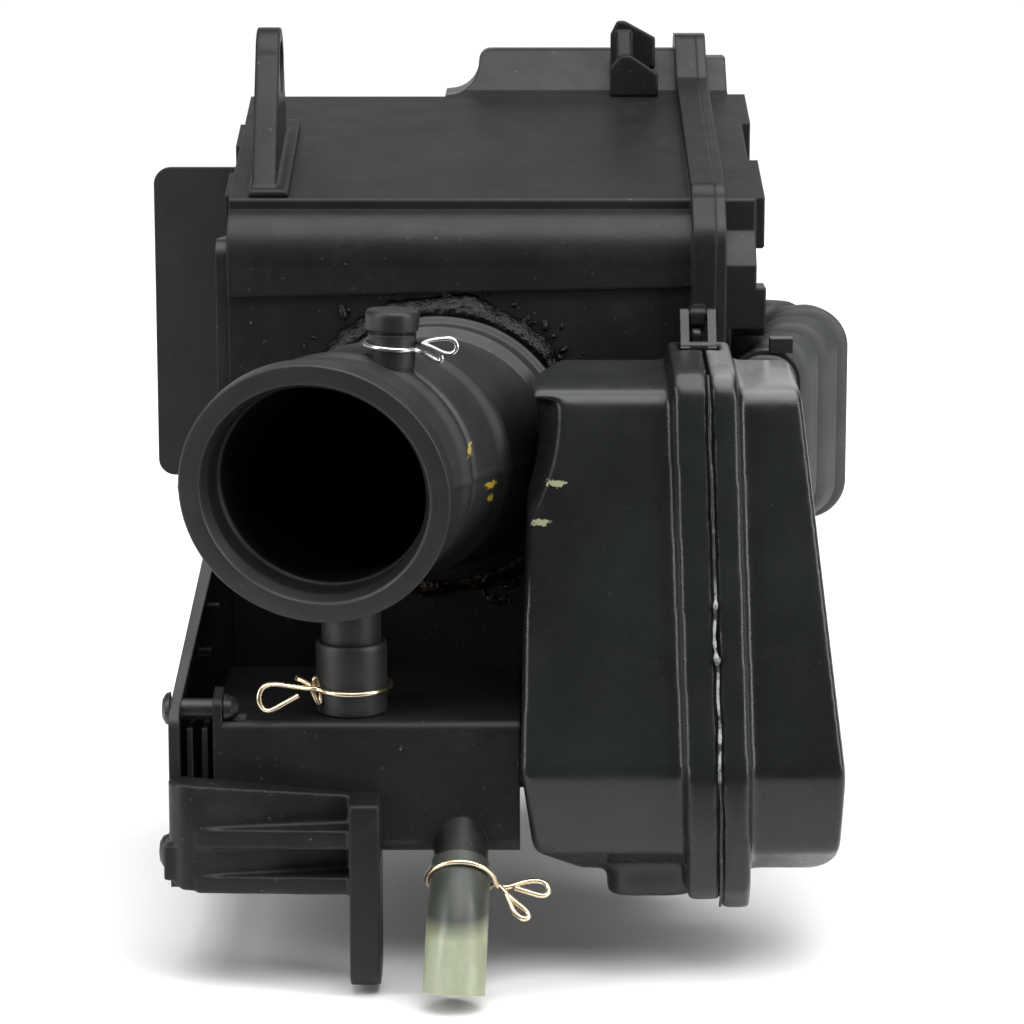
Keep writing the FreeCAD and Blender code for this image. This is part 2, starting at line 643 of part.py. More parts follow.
def back_plate():
    outline_points = [(-86.6, -7, 4), (-20, -7, 4), (-20, 68.4, 4), (-86.6, 68.4, 4)]
    plate = prism_y(outline_points, CASE_BACK, CASE_BACK + 2)
    for z in CASE_SCREWS_Z:
        plate = plate.cut(rod(V(BACK_SCREW_X, CASE_BACK - 5, z), V(0, 1, 0), 2.1, 10))
    return plate


def back_plate_screws():
    shapes = []
    for z in CASE_SCREWS_Z:
        shank = rod(V(BACK_SCREW_X, CASE_BACK - 6, z), V(0, 1, 0), 1.55, 8)
        seat = V(BACK_SCREW_X, CASE_BACK + 2, z)
        head = lathe([(0, 0), (0, 4.0), (1.0, 4.0), (2.6, 2.4), (2.6, 0)], seat, V(0, 1, 0))
        shapes.append(shank.fuse(head))
    return Part.makeCompound(shapes)


# --- resonator ------------------------------------------------------------------------
def resonator_block(distance):
    """Both halves' outer form, grown by distance."""
    side = prism(grown(RES_SIDE, on_x, distance), V(-10, 0, 0), V(100, 0, 0))
    face = prism(grown(RES_FACE, on_y, distance), V(0, -80, 0), V(0, 100, 0))
    return side.common(face)


def boot_relief(distance):
    """Round clearance that the inner half leaves for the boot."""
    start = BOOT_BASE + V(0, 0, 4.0) - boot_way() * 30
    around_boot = rod(start, boot_way(), BOOT_GAP_R - distance, 140)
    near = SCOOP_R - distance - SCOOP_TAPER * SCOOP_DEEP
    far = SCOOP_R - distance + SCOOP_TAPER * SCOOP_DEEP
    foot = SCOOP_CENTRE - SCOOP_WAY * SCOOP_DEEP
    scoop = Part.makeCone(near, far, 2 * SCOOP_DEEP, foot, SCOOP_WAY)
    below_top = box(-90, 90, -80, 0, -60, SCOOP_TOP - distance)
    return around_boot.fuse(scoop.common(below_top))


def between(left, right):
    """Slab across Y between two leaning planes, each given as X at the band's top and bottom."""
    top, bottom = BAND_Z
    more = 10.0
    points = []
    for edge, heights in ((left, (top, bottom)), (right, (bottom, top))):
        lean = (edge[1] - edge[0]) / (bottom - top)
        for z in heights:
            z_out = z + more if z == top else z - more
            points.append((edge[0] + lean * (z_out - top), z_out))
    return prism_y(points, -95, 20)


def seam_band():
    """Raised band over both sides of the seam, leaning with the box's draft."""
    return prism_x(BAND_SIDE, 25, 60).common(between(BAND_LEFT, BAND_RIGHT))


def latch_recess():
    """Step in the seam band that the latch's arms and bar lie in."""
    step = [(-9.1, 42), (-11.1, 37.2), (-17.5, 37.2), (-17.5, 42)]
    return prism_x(step, LATCH_LEFT - 0.4, LATCH_LEFT + LATCH_WIDTH + 0.4)


def inlet_collar():
    """Outline, in (X, Y), of the collar under the resonator."""
    return rectangle(INLET_LEFT, INLET_RIGHT, INLET_FRONT, INLET_BACK, 4)


def resonator_inner_half():
    block = resonator_block(0).cut(boot_relief(0))
    hollow = resonator_block(-RES_WALL).cut(boot_relief(-RES_WALL))
    band = seam_band().common(box(0, 90, -90, 10, BAND_STEP, 60))
    block = fuse_all([block, band, prism_z(inlet_collar(), INLET_BOTTOM, -68)])
    block = block.cut(hollow)
    throat = outline(inlet_collar(), on_z).makeOffset2D(-2.0)
    block = block.cut(prism(throat, V(0, 0, -80), V(0, 0, 16)))
    for x, z in RES_SCREW_SPOTS:
        block = block.fuse(rod(V(x, -14, z), V(0, 1, 0), 4.5, 14 - FIT))
        block = block.cut(rod(V(x, -11, z), V(0, 1, 0), 1.5, 20))
    block = block.cut(latch_recess())
    post = [(-11, 37), (-11, 42.4, 1.4), (-6.4, 42.4, 1.4), (-6.4, 37)]
    block = block.fuse(prism_x(post, LATCH_LEFT + 2.4, LATCH_LEFT + 5.4))
    left_of_seam = between((-20, -20), RES_SEAM)
    before_case = box(-20, 90, -90, 0, -90, 90)
    return block.common(left_of_seam).common(before_case).removeSplitter()


def resonator_outer_half():
    block = resonator_block(0)
    block = fuse_all([block, seam_band()])
    stub = resonator_stub()
    block = block.fuse(prism_y(stub, RES_BACK - 1, 0.4))
    block = block.cut(resonator_block(-RES_WALL))
    block = block.cut(latch_recess())
    port = outline(stub, on_y).makeOffset2D(-1.6)
    block = block.cut(prism(port, V(0, -12, 0), V(0, 20, 0)))
    right_of_seam = between(RES_SEAM, (95, 95))
    before_elbow = box(0, 90, -90, 0.4, -90, 90)
    return block.common(right_of_seam).common(before_elbow).removeSplitter()


def resonator_stub():
    x0, x1 = ELBOW_MOUTH_X
    z0, z1 = ELBOW_MOUTH_Z
    gap = ELBOW_WALL + FIT
    return rectangle(x0 + gap, x1 - gap, z0 + gap, z1 - gap, 3.5)


def resonator_seam_bead():
    """Thin line of weld flash along the seam."""
    half_width = 0.6
    left = (RES_SEAM[0] - half_width, RES_SEAM[1] - half_width)
    right = (RES_SEAM[0] + half_width, RES_SEAM[1] + half_width)
    bead = prism(grown(BAND_SIDE, on_x, 0.6), V(20, 0, 0), V(50, 0, 0))
    bead = bead.cut(prism_x(BAND_SIDE, 15, 80)).common(between(left, right))
    return bead.common(box(0, 90, -90, -20, -90, 90))


def resonator_screws():
    shapes = []
    for x, z in RES_SCREW_SPOTS:
        shank = rod(V(x, -9, z), V(0, 1, 0), 1.45, 9 + WALL)
        head = rod(V(x, WALL, z), V(0, 1, 0), 3.8, 2.4)
        shapes.append(shank.fuse(head))
    return Part.makeCompound(shapes)


# --- latch ------------------------------------------------------------------------------
def latch_clip():
    """Bail that hangs from the case's lug and hooks over the resonator's post."""
    y, z = LATCH_PIVOT.y, LATCH_PIVOT.z
    arms = []
    side = [(y - 1.9, z + 1.8, 1.2), (y + 1.9, z + 1.8, 1.2), (y - 4.6, 37.8), (y - 7.4, 38.8)]
    for x in (LATCH_LEFT, LATCH_LEFT + LATCH_WIDTH - 1.9):
        arms.append(prism_x(side, x, x + 1.9))
    pin = rod(V(LATCH_LEFT, y, z), V(1, 0, 0), LATCH_PIN_R, LATCH_WIDTH)
    bar = rod(V(LATCH_LEFT, y - 5.9, 38.9), V(1, 0, 0), 1.25, LATCH_WIDTH)
    return fuse_all(arms + [pin, bar])


# --- intake elbow ---------------------------------------------------------------------------
def elbow_body(inset):
    """Elbow solid: a mouth on the resonator, a widening run, and a quarter turn."""
    x0, x1 = ELBOW_MOUTH_X
    z0, z1 = ELBOW_MOUTH_Z
    mouth = rectangle(x0 + inset, x1 - inset, z0 + inset, z1 - inset, 6 - inset)
    wide_x0 = ELBOW_AXIS.x + ELBOW_INSIDE
    wide_x1 = wide_x0 + ELBOW_WIDTH
    wide = rectangle(wide_x0 + inset, wide_x1 - inset, ELBOW_Z[0] + inset, ELBOW_Z[1] - inset, 9 - inset)
    near = outline(mouth, on_y)
    far = outline(wide, on_y)
    start = prism(near, V(0, RES_BACK + 0.1, 0), V(0, 1.0 - RES_BACK - 0.1, 0))
    near.translate(V(0, 1.0, 0))
    far.translate(V(0, ELBOW_AXIS.y, 0))
    run = Part.makeLoft([near, far], True, True)
    turn = Part.Face(far).revolve(ELBOW_AXIS, V(0, 0, 1), 90)
    return fuse_all([start, run, turn])


def intake_elbow():
    return elbow_body(0).cut(elbow_body(ELBOW_WALL)).cut(elbow_ends())


def elbow_ends():
    """Openings through both ends of the elbow, so that the bore runs clear."""
    x0, x1 = ELBOW_MOUTH_X
    z0, z1 = ELBOW_MOUTH_Z
    hole = rectangle(x0 + ELBOW_WALL, x1 - ELBOW_WALL, z0 + ELBOW_WALL, z1 - ELBOW_WALL, 3.5)
    return prism_y(hole, RES_BACK - 2, 0)


def elbow_tie():
    x0, x1 = ELBOW_MOUTH_X
    z0, z1 = ELBOW_MOUTH_Z
    ring = rectangle(x0, x1, z0, z1, 6)
    outer = outline(ring, on_y).makeOffset2D(0.9)
    band = prism(outer, V(0, -4.4, 0), V(0, 3.0, 0))
    band = band.cut(prism(outline(ring, on_y), V(0, -6, 0), V(0, 8, 0)))
    head = box(56.5, 61.5, -5.2, -0.8, z1 + 0.4, z1 + 3.6)
    return band.fuse(head).cut(elbow_body(0)).removeSplitter()


# --- outlet boot -------------------------------------------------------------------------------
def boot_way():
    """Unit vector from the boot's base to its lip."""
    return (BOOT_LIP - BOOT_BASE).normalize()


def smooth(t):
    return t * t * (3 - 2 * t)


def boot_circle(t, radius):
    """Circle round the boot's S-shaped centre line; its plane turns from the wall's to the lip's."""
    pull = 20.0
    points = [BOOT_BASE, BOOT_BASE + V(0, -pull, 0), BOOT_LIP - BOOT_FACE * pull, BOOT_LIP]
    weights = [(1 - t) ** 3, 3 * t * (1 - t) ** 2, 3 * t * t * (1 - t), t ** 3]
    centre = V(0, 0, 0)
    for point, weight in zip(points, weights):
        centre = centre + point * weight
    facing = V(0, -1, 0) * (1 - smooth(t)) + BOOT_FACE * smooth(t)
    circle = Part.Wire(Part.makeCircle(radius))
    turn = FreeCAD.Rotation(V(0, 0, 1), V(0, -1, 0))
    swing = FreeCAD.Rotation(V(0, -1, 0), facing)
    circle.Placement = FreeCAD.Placement(centre, swing.multiply(turn))
    return circle


def boot_loft(stations):
    """Solid through circles, from (fraction of the centre line, radius) stations."""
    return Part.makeLoft([boot_circle(t, radius) for t, radius in stations], True, True)


def boot_bore():
    """The winding part of the bore, a little narrower than the mouth and the neck."""
    circles = [boot_circle(step / 4, BOOT_THROAT_R) for step in range(5)]
    return Part.makeLoft(circles, True, False)


def outlet_boot():
    form = [
        (0.0, 28.0), (0.12, 28.0), (0.16, 26.6), (0.5, 26.6), (0.53, 25.2), (0.64, 25.2),
        (0.67, 26.0), (0.76, 26.0), (0.79, 24.8), (0.92, 24.8), (0.925, 28.6), (1.0, BOOT_LIP_R),
    ]
    body = boot_loft(form)
    flange = rod(BOOT_BASE + V(0, -4, 0), V(0, 1, 0), BOOT_FLANGE_R, 4)
    neck = rod(BOOT_BASE + V(0, -1, 0), V(0, 1, 0), BOOT_HOLE_R - FIT, WALL + 1 + 2 * FIT)
    bead = rod(BOOT_BASE + V(0, WALL + FIT, 0), V(0, 1, 0), 28.5, 3)
    spigot = rod(BREATHER - V(0, 0, 3), V(0, 0, 1), 4.5, SPIGOT_TALL + 3)
    low = V(LOWER_BREATHER.x, LOWER_BREATHER.y, -26.5)
    nipple = rod(low, V(0, 0, 1), 6.4, 20)
    boot = fuse_all([body, flange, neck, bead, spigot, nipple])
    front = rod(BOOT_LIP - BOOT_FACE * BOOT_MOUTH, BOOT_FACE, BOOT_BORE_R, BOOT_MOUTH + 2)
    back = rod(BOOT_BASE + V(0, -3, 0), V(0, 1, 0), BOOT_BORE_R, 15)
    boot = cut_all(boot, [boot_bore(), front, back])
    boot = boot.cut(rod(BREATHER - V(0, 0, 6), V(0, 0, 1), 2.6, 30))
    boot = boot.cut(rod(low - V(0, 0, 1), V(0, 0, 1), 4.0, 18))
    return boot.removeSplitter()


def boot_sealant():
    """Bead of sealant laid round the boot's flange."""
    inside = BOOT_FLANGE_R + FIT
    section = [(0, inside), (0, 32.6), (1.8, 32.2), (3.2, 31.0), (3.8, inside)]
    ring = lathe(section, BOOT_BASE, V(0, -1, 0))
    return ring


def breather_plug():
    seat = BREATHER + V(0, 0, SPIGOT_TALL + FIT)
    cap = lathe([(0, 0), (0, 5.4), (1.0, 5.6), (3.6, 5.6), (4.4, 4.6), (4.4, 0)], seat, V(0, 0, 1))
    skirt_ring = pipe(seat - V(0, 0, PLUG_SKIRT), V(0, 0, 1), 5.4, 4.5 + FIT, PLUG_SKIRT)
    stem = rod(seat - V(0, 0, 3.0), V(0, 0, 1), 2.5, 3.0)
    return fuse_all([cap, skirt_ring, stem])


def wire_clamp(centre, way, out, radius, wire_r, loop_r, tilt):
    """Spring wire clamp: a ring, and two looped ears that stand out from it."""
    ring = Part.makeTorus(radius + wire_r, wire_r, centre, way)
    side = way.cross(out)
    pieces = [ring]
    for sign in (-1, 1):
        foot = centre + out * (radius + wire_r) + side * (sign * 0.4)
        lean = (out + way * (sign * tilt)).normalize()
        loop_centre = foot + lean * (5.5 + loop_r)
        pieces.append(rod(foot, lean, wire_r, 5.5))
        pieces.append(Part.makeTorus(loop_r, wire_r, loop_centre, side))
    return fuse_all(pieces)


def plug_clamp():
    centre = BREATHER + V(0, 0, SPIGOT_TALL - 2.6)
    return wire_clamp(centre, V(0, 0, 1), V(0.9, -0.44, 0).normalize(), 5.4 + FIT, 0.55, 1.6, 0.22)


def breather_sleeve():
    start = V(LOWER_BREATHER.x, LOWER_BREATHER.y, SUMP_TOP + FIT)
    lower = pipe(start, V(0, 0, 1), 7.6, 5.0 + FIT, 8.4)
    upper = pipe(start + V(0, 0, 8.4), V(0, 0, 1), 7.6, 6.4 + FIT, 7.0)
    return lower.fuse(upper).removeSplitter()


def sleeve_clamp():
    centre = V(LOWER_BREATHER.x, LOWER_BREATHER.y, SUMP_TOP + 5.4)
    return wire_clamp(centre, V(0, 0, 1), V(-0.8, -0.6, 0), 7.65, 0.65, 2.2, 0.3)


# --- drain ------------------------------------------------------------------------------------
def drain_way(lean):
    turn = math.radians(lean)
    return V(0, -math.sin(turn), -math.cos(turn))


def drain_tube():
    """Short soft hose: pushed on the sump's nipple, then bending down under gravity."""
    return drain_core(DRAIN_R, 0).cut(drain_core(DRAIN_BORE_R, 1))


def drain_core(radius, extra):
    """Round bar along the hose: a straight length, then the bend; extra runs past its top."""
    way = drain_way(DRAIN_LEAN)
    start = DRAIN_START + way * HOSE_START
    bend = start + way * HOSE_STRAIGHT
    pivot = bend + V(0, -way.z, way.y) * DRAIN_BEND_R
    section = Part.Face(Part.Wire(Part.makeCircle(radius, bend, way)))
    curve = section.revolve(pivot, V(1, 0, 0), DRAIN_TURN)
    end_way = drain_way(DRAIN_LEAN - DRAIN_TURN)
    arm = bend - pivot
    turn = FreeCAD.Rotation(V(1, 0, 0), DRAIN_TURN)
    tail = rod(pivot + turn.multVec(arm), end_way, radius, HOSE_TAIL + extra)
    head = rod(start - way * extra, way, radius, HOSE_STRAIGHT + extra)
    return swung(fuse_all([head, curve, tail]))


def swung(shape):
    """The drain's pieces lean together towards -X about the point where it starts."""
    turned = shape.copy()
    turned.rotate(DRAIN_START, V(0, 1, 0), DRAIN_SIDE)
    return turned


def drain_clamp():
    way = drain_way(DRAIN_LEAN)
    centre = DRAIN_START + way * (HOSE_START + 3.2)
    out = V(0.94, 0.2, -0.26)
    out = (out - way * out.dot(way)).normalize()
    return swung(wire_clamp(centre, way, out, DRAIN_R + FIT, 0.6, 2.0, 0.4))


PIECES = [
    ("main_case", main_case),
    ("sump_box", sump_box),
    ("upper_ear", upper_ear),
    ("hose_guide", hose_guide),
    ("side_panel", side_panel),
    ("side_rivet", side_rivets),
    ("back_plate", back_plate),
    ("back_plate_screws", back_plate_screws),
    ("lower_bracket", lower_bracket),
    ("bracket_rivet", bracket_fasteners),
    ("filter_cover", filter_cover),
    ("cover_seal", cover_seal),
    ("cover_screws", cover_screws),
    ("element_frame", element_frame),
    ("filter_element", filter_element),
    ("resonator_inner_half", resonator_inner_half),
    ("resonator_outer_half", resonator_outer_half),
    ("resonator_seam_bead", resonator_seam_bead),
    ("resonator_screws", resonator_screws),
    ("latch_clip", latch_clip),
    ("intake_elbow", intake_elbow),
    ("elbow_tie", elbow_tie),
    ("outlet_boot", outlet_boot),
    ("boot_sealant", boot_sealant),
    ("breather_plug", breather_plug),
    ("plug_clamp", plug_clamp),
    ("breather_sleeve", breather_sleeve),
    ("sleeve_clamp", sleeve_clamp),
    ("drain_tube", drain_tube),
    ("drain_clamp", drain_clamp),
]

for name, make in PIECES:
    keep(name, make())
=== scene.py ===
import bmesh
import bpy
import math
import random
from mathutils import Matrix, Vector, noise


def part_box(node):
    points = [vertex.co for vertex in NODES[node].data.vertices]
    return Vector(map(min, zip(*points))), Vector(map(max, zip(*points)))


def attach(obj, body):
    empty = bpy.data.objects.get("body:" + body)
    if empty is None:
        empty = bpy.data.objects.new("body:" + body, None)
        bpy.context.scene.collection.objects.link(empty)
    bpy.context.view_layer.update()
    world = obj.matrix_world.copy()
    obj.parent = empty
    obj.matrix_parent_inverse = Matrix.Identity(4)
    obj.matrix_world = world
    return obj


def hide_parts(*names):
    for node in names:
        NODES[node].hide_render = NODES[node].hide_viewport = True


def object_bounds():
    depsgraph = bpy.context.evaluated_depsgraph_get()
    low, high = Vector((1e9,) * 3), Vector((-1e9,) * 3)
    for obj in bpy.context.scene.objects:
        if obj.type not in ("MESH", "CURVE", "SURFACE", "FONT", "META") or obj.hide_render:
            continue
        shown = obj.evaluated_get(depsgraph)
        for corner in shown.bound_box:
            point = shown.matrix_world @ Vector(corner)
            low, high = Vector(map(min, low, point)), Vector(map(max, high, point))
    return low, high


# Air filter housing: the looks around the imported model, in metres.
# Places along the object are given in millimetres from the case's front wall, as mm(x, y, z),
# where +Y runs back into the case; mm() turns them into the frame's own metres.

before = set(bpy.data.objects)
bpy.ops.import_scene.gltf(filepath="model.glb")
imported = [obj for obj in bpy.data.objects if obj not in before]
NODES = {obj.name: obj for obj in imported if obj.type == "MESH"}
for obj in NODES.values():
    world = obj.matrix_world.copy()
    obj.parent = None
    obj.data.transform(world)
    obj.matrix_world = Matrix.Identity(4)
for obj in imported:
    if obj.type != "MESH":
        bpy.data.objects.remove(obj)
CAD_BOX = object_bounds()
SCENE = bpy.context.scene
MM = 0.001
DATUM = Vector((54.9, -35.0, -95.9)) * MM     # the datum's place in the frame


def mm(x, y, z):
    return Vector((x, y, z)) * MM + DATUM


# --- camera, light and floor ------------------------------------------------------
CAMERA_PITCH = 11.0                          # degrees down
CAMERA_FAR = 800.0                           # millimetres from the datum
LENS = 126.56                                # millimetres, on a 36 mm sensor
SUN_POWER = 3.4
SUN_SPREAD = 70.0                            # degrees
SUN_TILT = (9.0, 6.0)                        # degrees about X and Y
WORLD_SEEN = 1.0                             # brightness where the camera sees the world
WORLD_LIGHT = 0.12                           # brightness for light and reflections
FLOOR_FRONT = -0.16
FLOOR_BACK = 5.5
FLOOR_SIDE = 2.5
FLOOR_DROP = 0.0015                          # below the lowest point of the CAD
# name, place from the datum in metres, (width, height) in metres, watts
BOXES = [
    ("front_top_box", (0.20, -0.60, 1.40), (0.9, 0.6), 3),
    ("back_box", (0.0, 1.30, 0.42), (1.8, 0.6), 3),
    ("left_box", (-0.90, -0.50, 0.30), (0.22, 1.1), 8),
    ("right_box", (0.90, -0.45, 0.35), (0.22, 1.1), 8.5),
]


def make_camera():
    data = bpy.data.cameras.new("camera")
    data.lens = LENS
    data.sensor_width = 36
    data.clip_start = 0.05
    camera = bpy.data.objects.new("camera", data)
    pitch = math.radians(CAMERA_PITCH)
    camera.location = mm(0, -CAMERA_FAR * math.cos(pitch), CAMERA_FAR * math.sin(pitch))
    camera.rotation_euler = (math.radians(90) - pitch, 0, 0)
    SCENE.collection.objects.link(camera)
    SCENE.camera = camera


def area_light(name, place, target, size, power):
    data = bpy.data.lights.new(name, "AREA")
    data.shape = "RECTANGLE"
    data.size, data.size_y = size
    data.energy = power
    lamp = bpy.data.objects.new(name, data)
    lamp.location = place
    lamp.rotation_euler = (target - place).to_track_quat("-Z", "Y").to_euler()
    SCENE.collection.objects.link(lamp)


def make_lights():
    middle = mm(0, 0, 0)
    for name, offset, size, power in BOXES:
        area_light(name, middle + Vector(offset), middle, size, power)
    data = bpy.data.lights.new("overhead", "SUN")
    data.energy = SUN_POWER
    data.angle = math.radians(SUN_SPREAD)
    lamp = bpy.data.objects.new("overhead", data)
    lamp.rotation_euler = (math.radians(SUN_TILT[0]), math.radians(SUN_TILT[1]), 0)
    SCENE.collection.objects.link(lamp)
    world = bpy.data.worlds.new("studio")
    world.use_nodes = True
    tree = world.node_tree
    tree.nodes["Background"].inputs["Color"].default_value = (1.0, 1.0, 1.0, 1)
    seen = tree.nodes.new("ShaderNodeLightPath").outputs["Is Camera Ray"]
    strength = tree.nodes.new("ShaderNodeMapRange")
    tree.links.new(seen, strength.inputs["Value"])
    strength.inputs["To Min"].default_value = WORLD_LIGHT
    strength.inputs["To Max"].default_value = WORLD_SEEN
    tree.links.new(strength.outputs[0], tree.nodes["Background"].inputs["Strength"])
    SCENE.world = world


def make_floor():
    """Pale floor that starts just in front of the object."""
    low = CAD_BOX[0].z - FLOOR_DROP
    verts = [(-FLOOR_SIDE, FLOOR_FRONT, low), (FLOOR_SIDE, FLOOR_FRONT, low),
             (FLOOR_SIDE, FLOOR_BACK, low), (-FLOOR_SIDE, FLOOR_BACK, low)]
    mesh = bpy.data.meshes.new("floor")
    mesh.from_pydata(verts, [], [(0, 1, 2, 3)])
    floor = bpy.data.objects.new("floor", mesh)
    floor.data.materials.append(paper())
    SCENE.collection.objects.link(floor)


# --- materials --------------------------------------------------------------------
class Graph:
    """A material's node tree, with short ways to add the nodes that every finish uses."""

    def __init__(self, name):
        self.material = bpy.data.materials.new(name)
        self.material.use_nodes = True
        self.tree = self.material.node_tree
        self.shader = self.tree.nodes["Principled BSDF"]
        self.place = self.add("ShaderNodeTexCoord").outputs["Object"]

    def add(self, kind, settings=None, **inputs):
        node = self.tree.nodes.new(kind)
        for key, value in (settings or {}).items():
            setattr(node, key, value)
        for key, value in inputs.items():
            self.put(node.inputs[key.replace("_", " ")], value)
        return node

    def put(self, socket, value):
        if isinstance(value, bpy.types.NodeSocket):
            self.tree.links.new(value, socket)
        else:
            socket.default_value = value

    def noise(self, size, detail=3.0, roughness=0.55, stretch=None):
        """Noise whose features are about size metres across."""
        place = self.place
        if stretch:
            place = self.add("ShaderNodeMapping", Vector=place, Scale=stretch).outputs[0]
        node = self.add("ShaderNodeTexNoise", Vector=place, Scale=1.0 / size, Detail=detail)
        node.inputs["Roughness"].default_value = roughness
        return node.outputs["Fac"]

    def range(self, value, low, high, to_low, to_high):
        node = self.add("ShaderNodeMapRange", {"clamp": True}, Value=value)
        for key, number in (("From Min", low), ("From Max", high), ("To Min", to_low), ("To Max", to_high)):
            node.inputs[key].default_value = number
        return node.outputs[0]

    def times(self, a, b):
        node = self.add("ShaderNodeMath", {"operation": "MULTIPLY"})
        self.put(node.inputs[0], a)
        self.put(node.inputs[1], b)
        return node.outputs[0]

    def mix(self, share, a, b):
        node = self.add("ShaderNodeMix", {"data_type": "RGBA"})
        self.put(node.inputs["Factor"], share)
        self.put(node.inputs[6], a)
        self.put(node.inputs[7], b)
        return node.outputs[2]

    def edges(self, radius):
        """(softened normal, share of an edge) from rounding every edge by radius metres."""
        bevel = self.add("ShaderNodeBevel", {"samples": 4}, Radius=radius)
        true = self.add("ShaderNodeNewGeometry").outputs["Normal"]
        dot = self.add("ShaderNodeVectorMath", {"operation": "DOT_PRODUCT"})
        self.put(dot.inputs[0], bevel.outputs[0])
        self.put(dot.inputs[1], true)
        return bevel.outputs[0], self.range(dot.outputs["Value"], 0.995, 0.80, 0.0, 1.0)

    def spot(self, centre, size, ragged=0.6):
        """1 inside a ragged blot of the given size (metres) round centre, 0 outside it."""
        off = self.add("ShaderNodeVectorMath", {"operation": "SUBTRACT"})
        self.put(off.inputs[0], self.place)
        off.inputs[1].default_value = centre
        scaled = self.add("ShaderNodeVectorMath", {"operation": "DIVIDE"})
        self.put(scaled.inputs[0], off.outputs[0])
        scaled.inputs[1].default_value = size
        far = self.add("ShaderNodeVectorMath", {"operation": "LENGTH"})
        self.put(far.inputs[0], scaled.outputs[0])
        torn = self.add("ShaderNodeMath", {"operation": "ADD"})
        self.put(torn.inputs[0], far.outputs["Value"])
        self.put(torn.inputs[1], self.range(self.noise(0.0007, 3.0), 0.3, 0.7, -ragged, ragged))
        return self.range(torn.outputs[0], 0.85, 1.0, 1.0, 0.0)

    def facing_up(self, low, high):
        """0 to 1 as the surface turns from low to high, its normal's share of +Z."""
        split = self.add("ShaderNodeSeparateXYZ")
        self.put(split.inputs[0], self.add("ShaderNodeNewGeometry").outputs["Normal"])
        return self.range(split.outputs["Z"], low, high, 0.0, 1.0)

    def bump(self, height, distance, strength=1.0, normal=None):
        node = self.add("ShaderNodeBump", Height=height, Distance=distance, Strength=strength)
        if normal is not None:
            self.put(node.inputs["Normal"], normal)
        return node.outputs[0]


def grey(colour, factor=1.0):
    return tuple(min(1.0, c * factor) for c in colour) + (1.0,)


def moulded(name, colour, rough, grain=0.0007, depth=0.00003, edge=0.0005, dust=0.35, wear_and_highlight=0.3,
            cloud=0.03, specular=0.5, painted_top_light=0.0, marks=()):
    """Moulded plastic or rubber: grain, uneven sheen, dust specks, pale edges partly from rubbing and
    partly a painted highlight.

    The upward-face share is how much light is painted on faces that look up, as a paler grey; marks are
    (place, size, colour) blots.
    """
    g = Graph(name)
    normal, rim = g.edges(edge)
    clouds = g.noise(cloud, 4.0)
    base = g.mix(g.range(clouds, 0.35, 0.65, 0, 1), grey(colour, 0.80), grey(colour, 1.28))
    specks = g.range(g.noise(0.0011, 2.0), 0.70, 0.78, 0.0, dust)
    base = g.mix(specks, base, grey((0.20, 0.20, 0.19)))
    smudges = g.range(g.noise(0.012, 5.0, 0.7), 0.55, 0.80, 0.0, 0.35 * dust)
    base = g.mix(smudges, base, grey((0.085, 0.085, 0.08)))
    # Painted highlight and rubbing: edges are made paler, partly real rubbing and partly standing in for
    # light caught on the edges.
    worn_and_highlit = g.times(rim, g.range(g.noise(0.004, 3.0), 0.35, 0.7, 0.15, 1.0))
    base = g.mix(g.times(worn_and_highlit, wear_and_highlight), base, grey(colour, 4.0))
    # Painted light: faces that look up are made paler, as if lit from above.
    if painted_top_light:
        patchy_top_light = g.range(g.noise(0.016, 4.0), 0.3, 0.7, 0.6 * painted_top_light, painted_top_light)
        top_light_share = g.times(g.facing_up(0.55, 0.95), patchy_top_light)
        base = g.mix(top_light_share, base, grey((0.30, 0.31, 0.30)))
    for place, size, tint in marks:
        base = g.mix(g.spot(place, size), base, grey(tint))
    g.put(g.shader.inputs["Base Color"], base)
    shine = g.range(g.noise(0.008, 4.0, 0.65), 0.3, 0.7, rough - 0.05, rough + 0.07)
    g.put(g.shader.inputs["Roughness"], shine)
    g.shader.inputs["Specular IOR Level"].default_value = specular
    fine = g.bump(g.noise(grain, 2.0), depth, 0.8, normal)
    wavy = g.bump(g.noise(0.018, 2.0), 0.00012, 0.22, fine)
    g.put(g.shader.inputs["Normal"], wavy)
    return g.material


def sealant_finish():
    """Glossy black sealant with a few dull dusty patches."""
    g = Graph("sealant_finish")
    dusty = g.range(g.noise(0.0030, 4.0, 0.7), 0.62, 0.72, 0.0, 0.30)
    base = g.mix(dusty, grey((0.0020, 0.0020, 0.0022)), grey((0.05, 0.046, 0.042)))
    split = g.add("ShaderNodeSeparateXYZ", Vector=g.place)
    low = g.range(split.outputs["Z"], mm(0, 0, -18).z, mm(0, 0, -10).z, 1.0, 0.0)
    base = g.mix(g.times(low, g.range(g.noise(0.0040, 4.0, 0.7), 0.48, 0.60, 0.0, 0.85)), base,
                 grey((0.045, 0.026, 0.017)))
    base = g.mix(g.times(low, g.range(g.noise(0.0018, 2.0), 0.66, 0.72, 0.0, 0.8)), base,
                 grey((0.22, 0.17, 0.13)))
    g.put(g.shader.inputs["Base Color"], base)
    g.put(g.shader.inputs["Roughness"], g.range(g.noise(0.003, 3.0), 0.35, 0.7, 0.10, 0.34))
    g.shader.inputs["Specular IOR Level"].default_value = 0.32
    g.put(g.shader.inputs["Normal"], g.bump(g.noise(0.0012, 4.0, 0.6), 0.0007, 0.9))
    return g.material


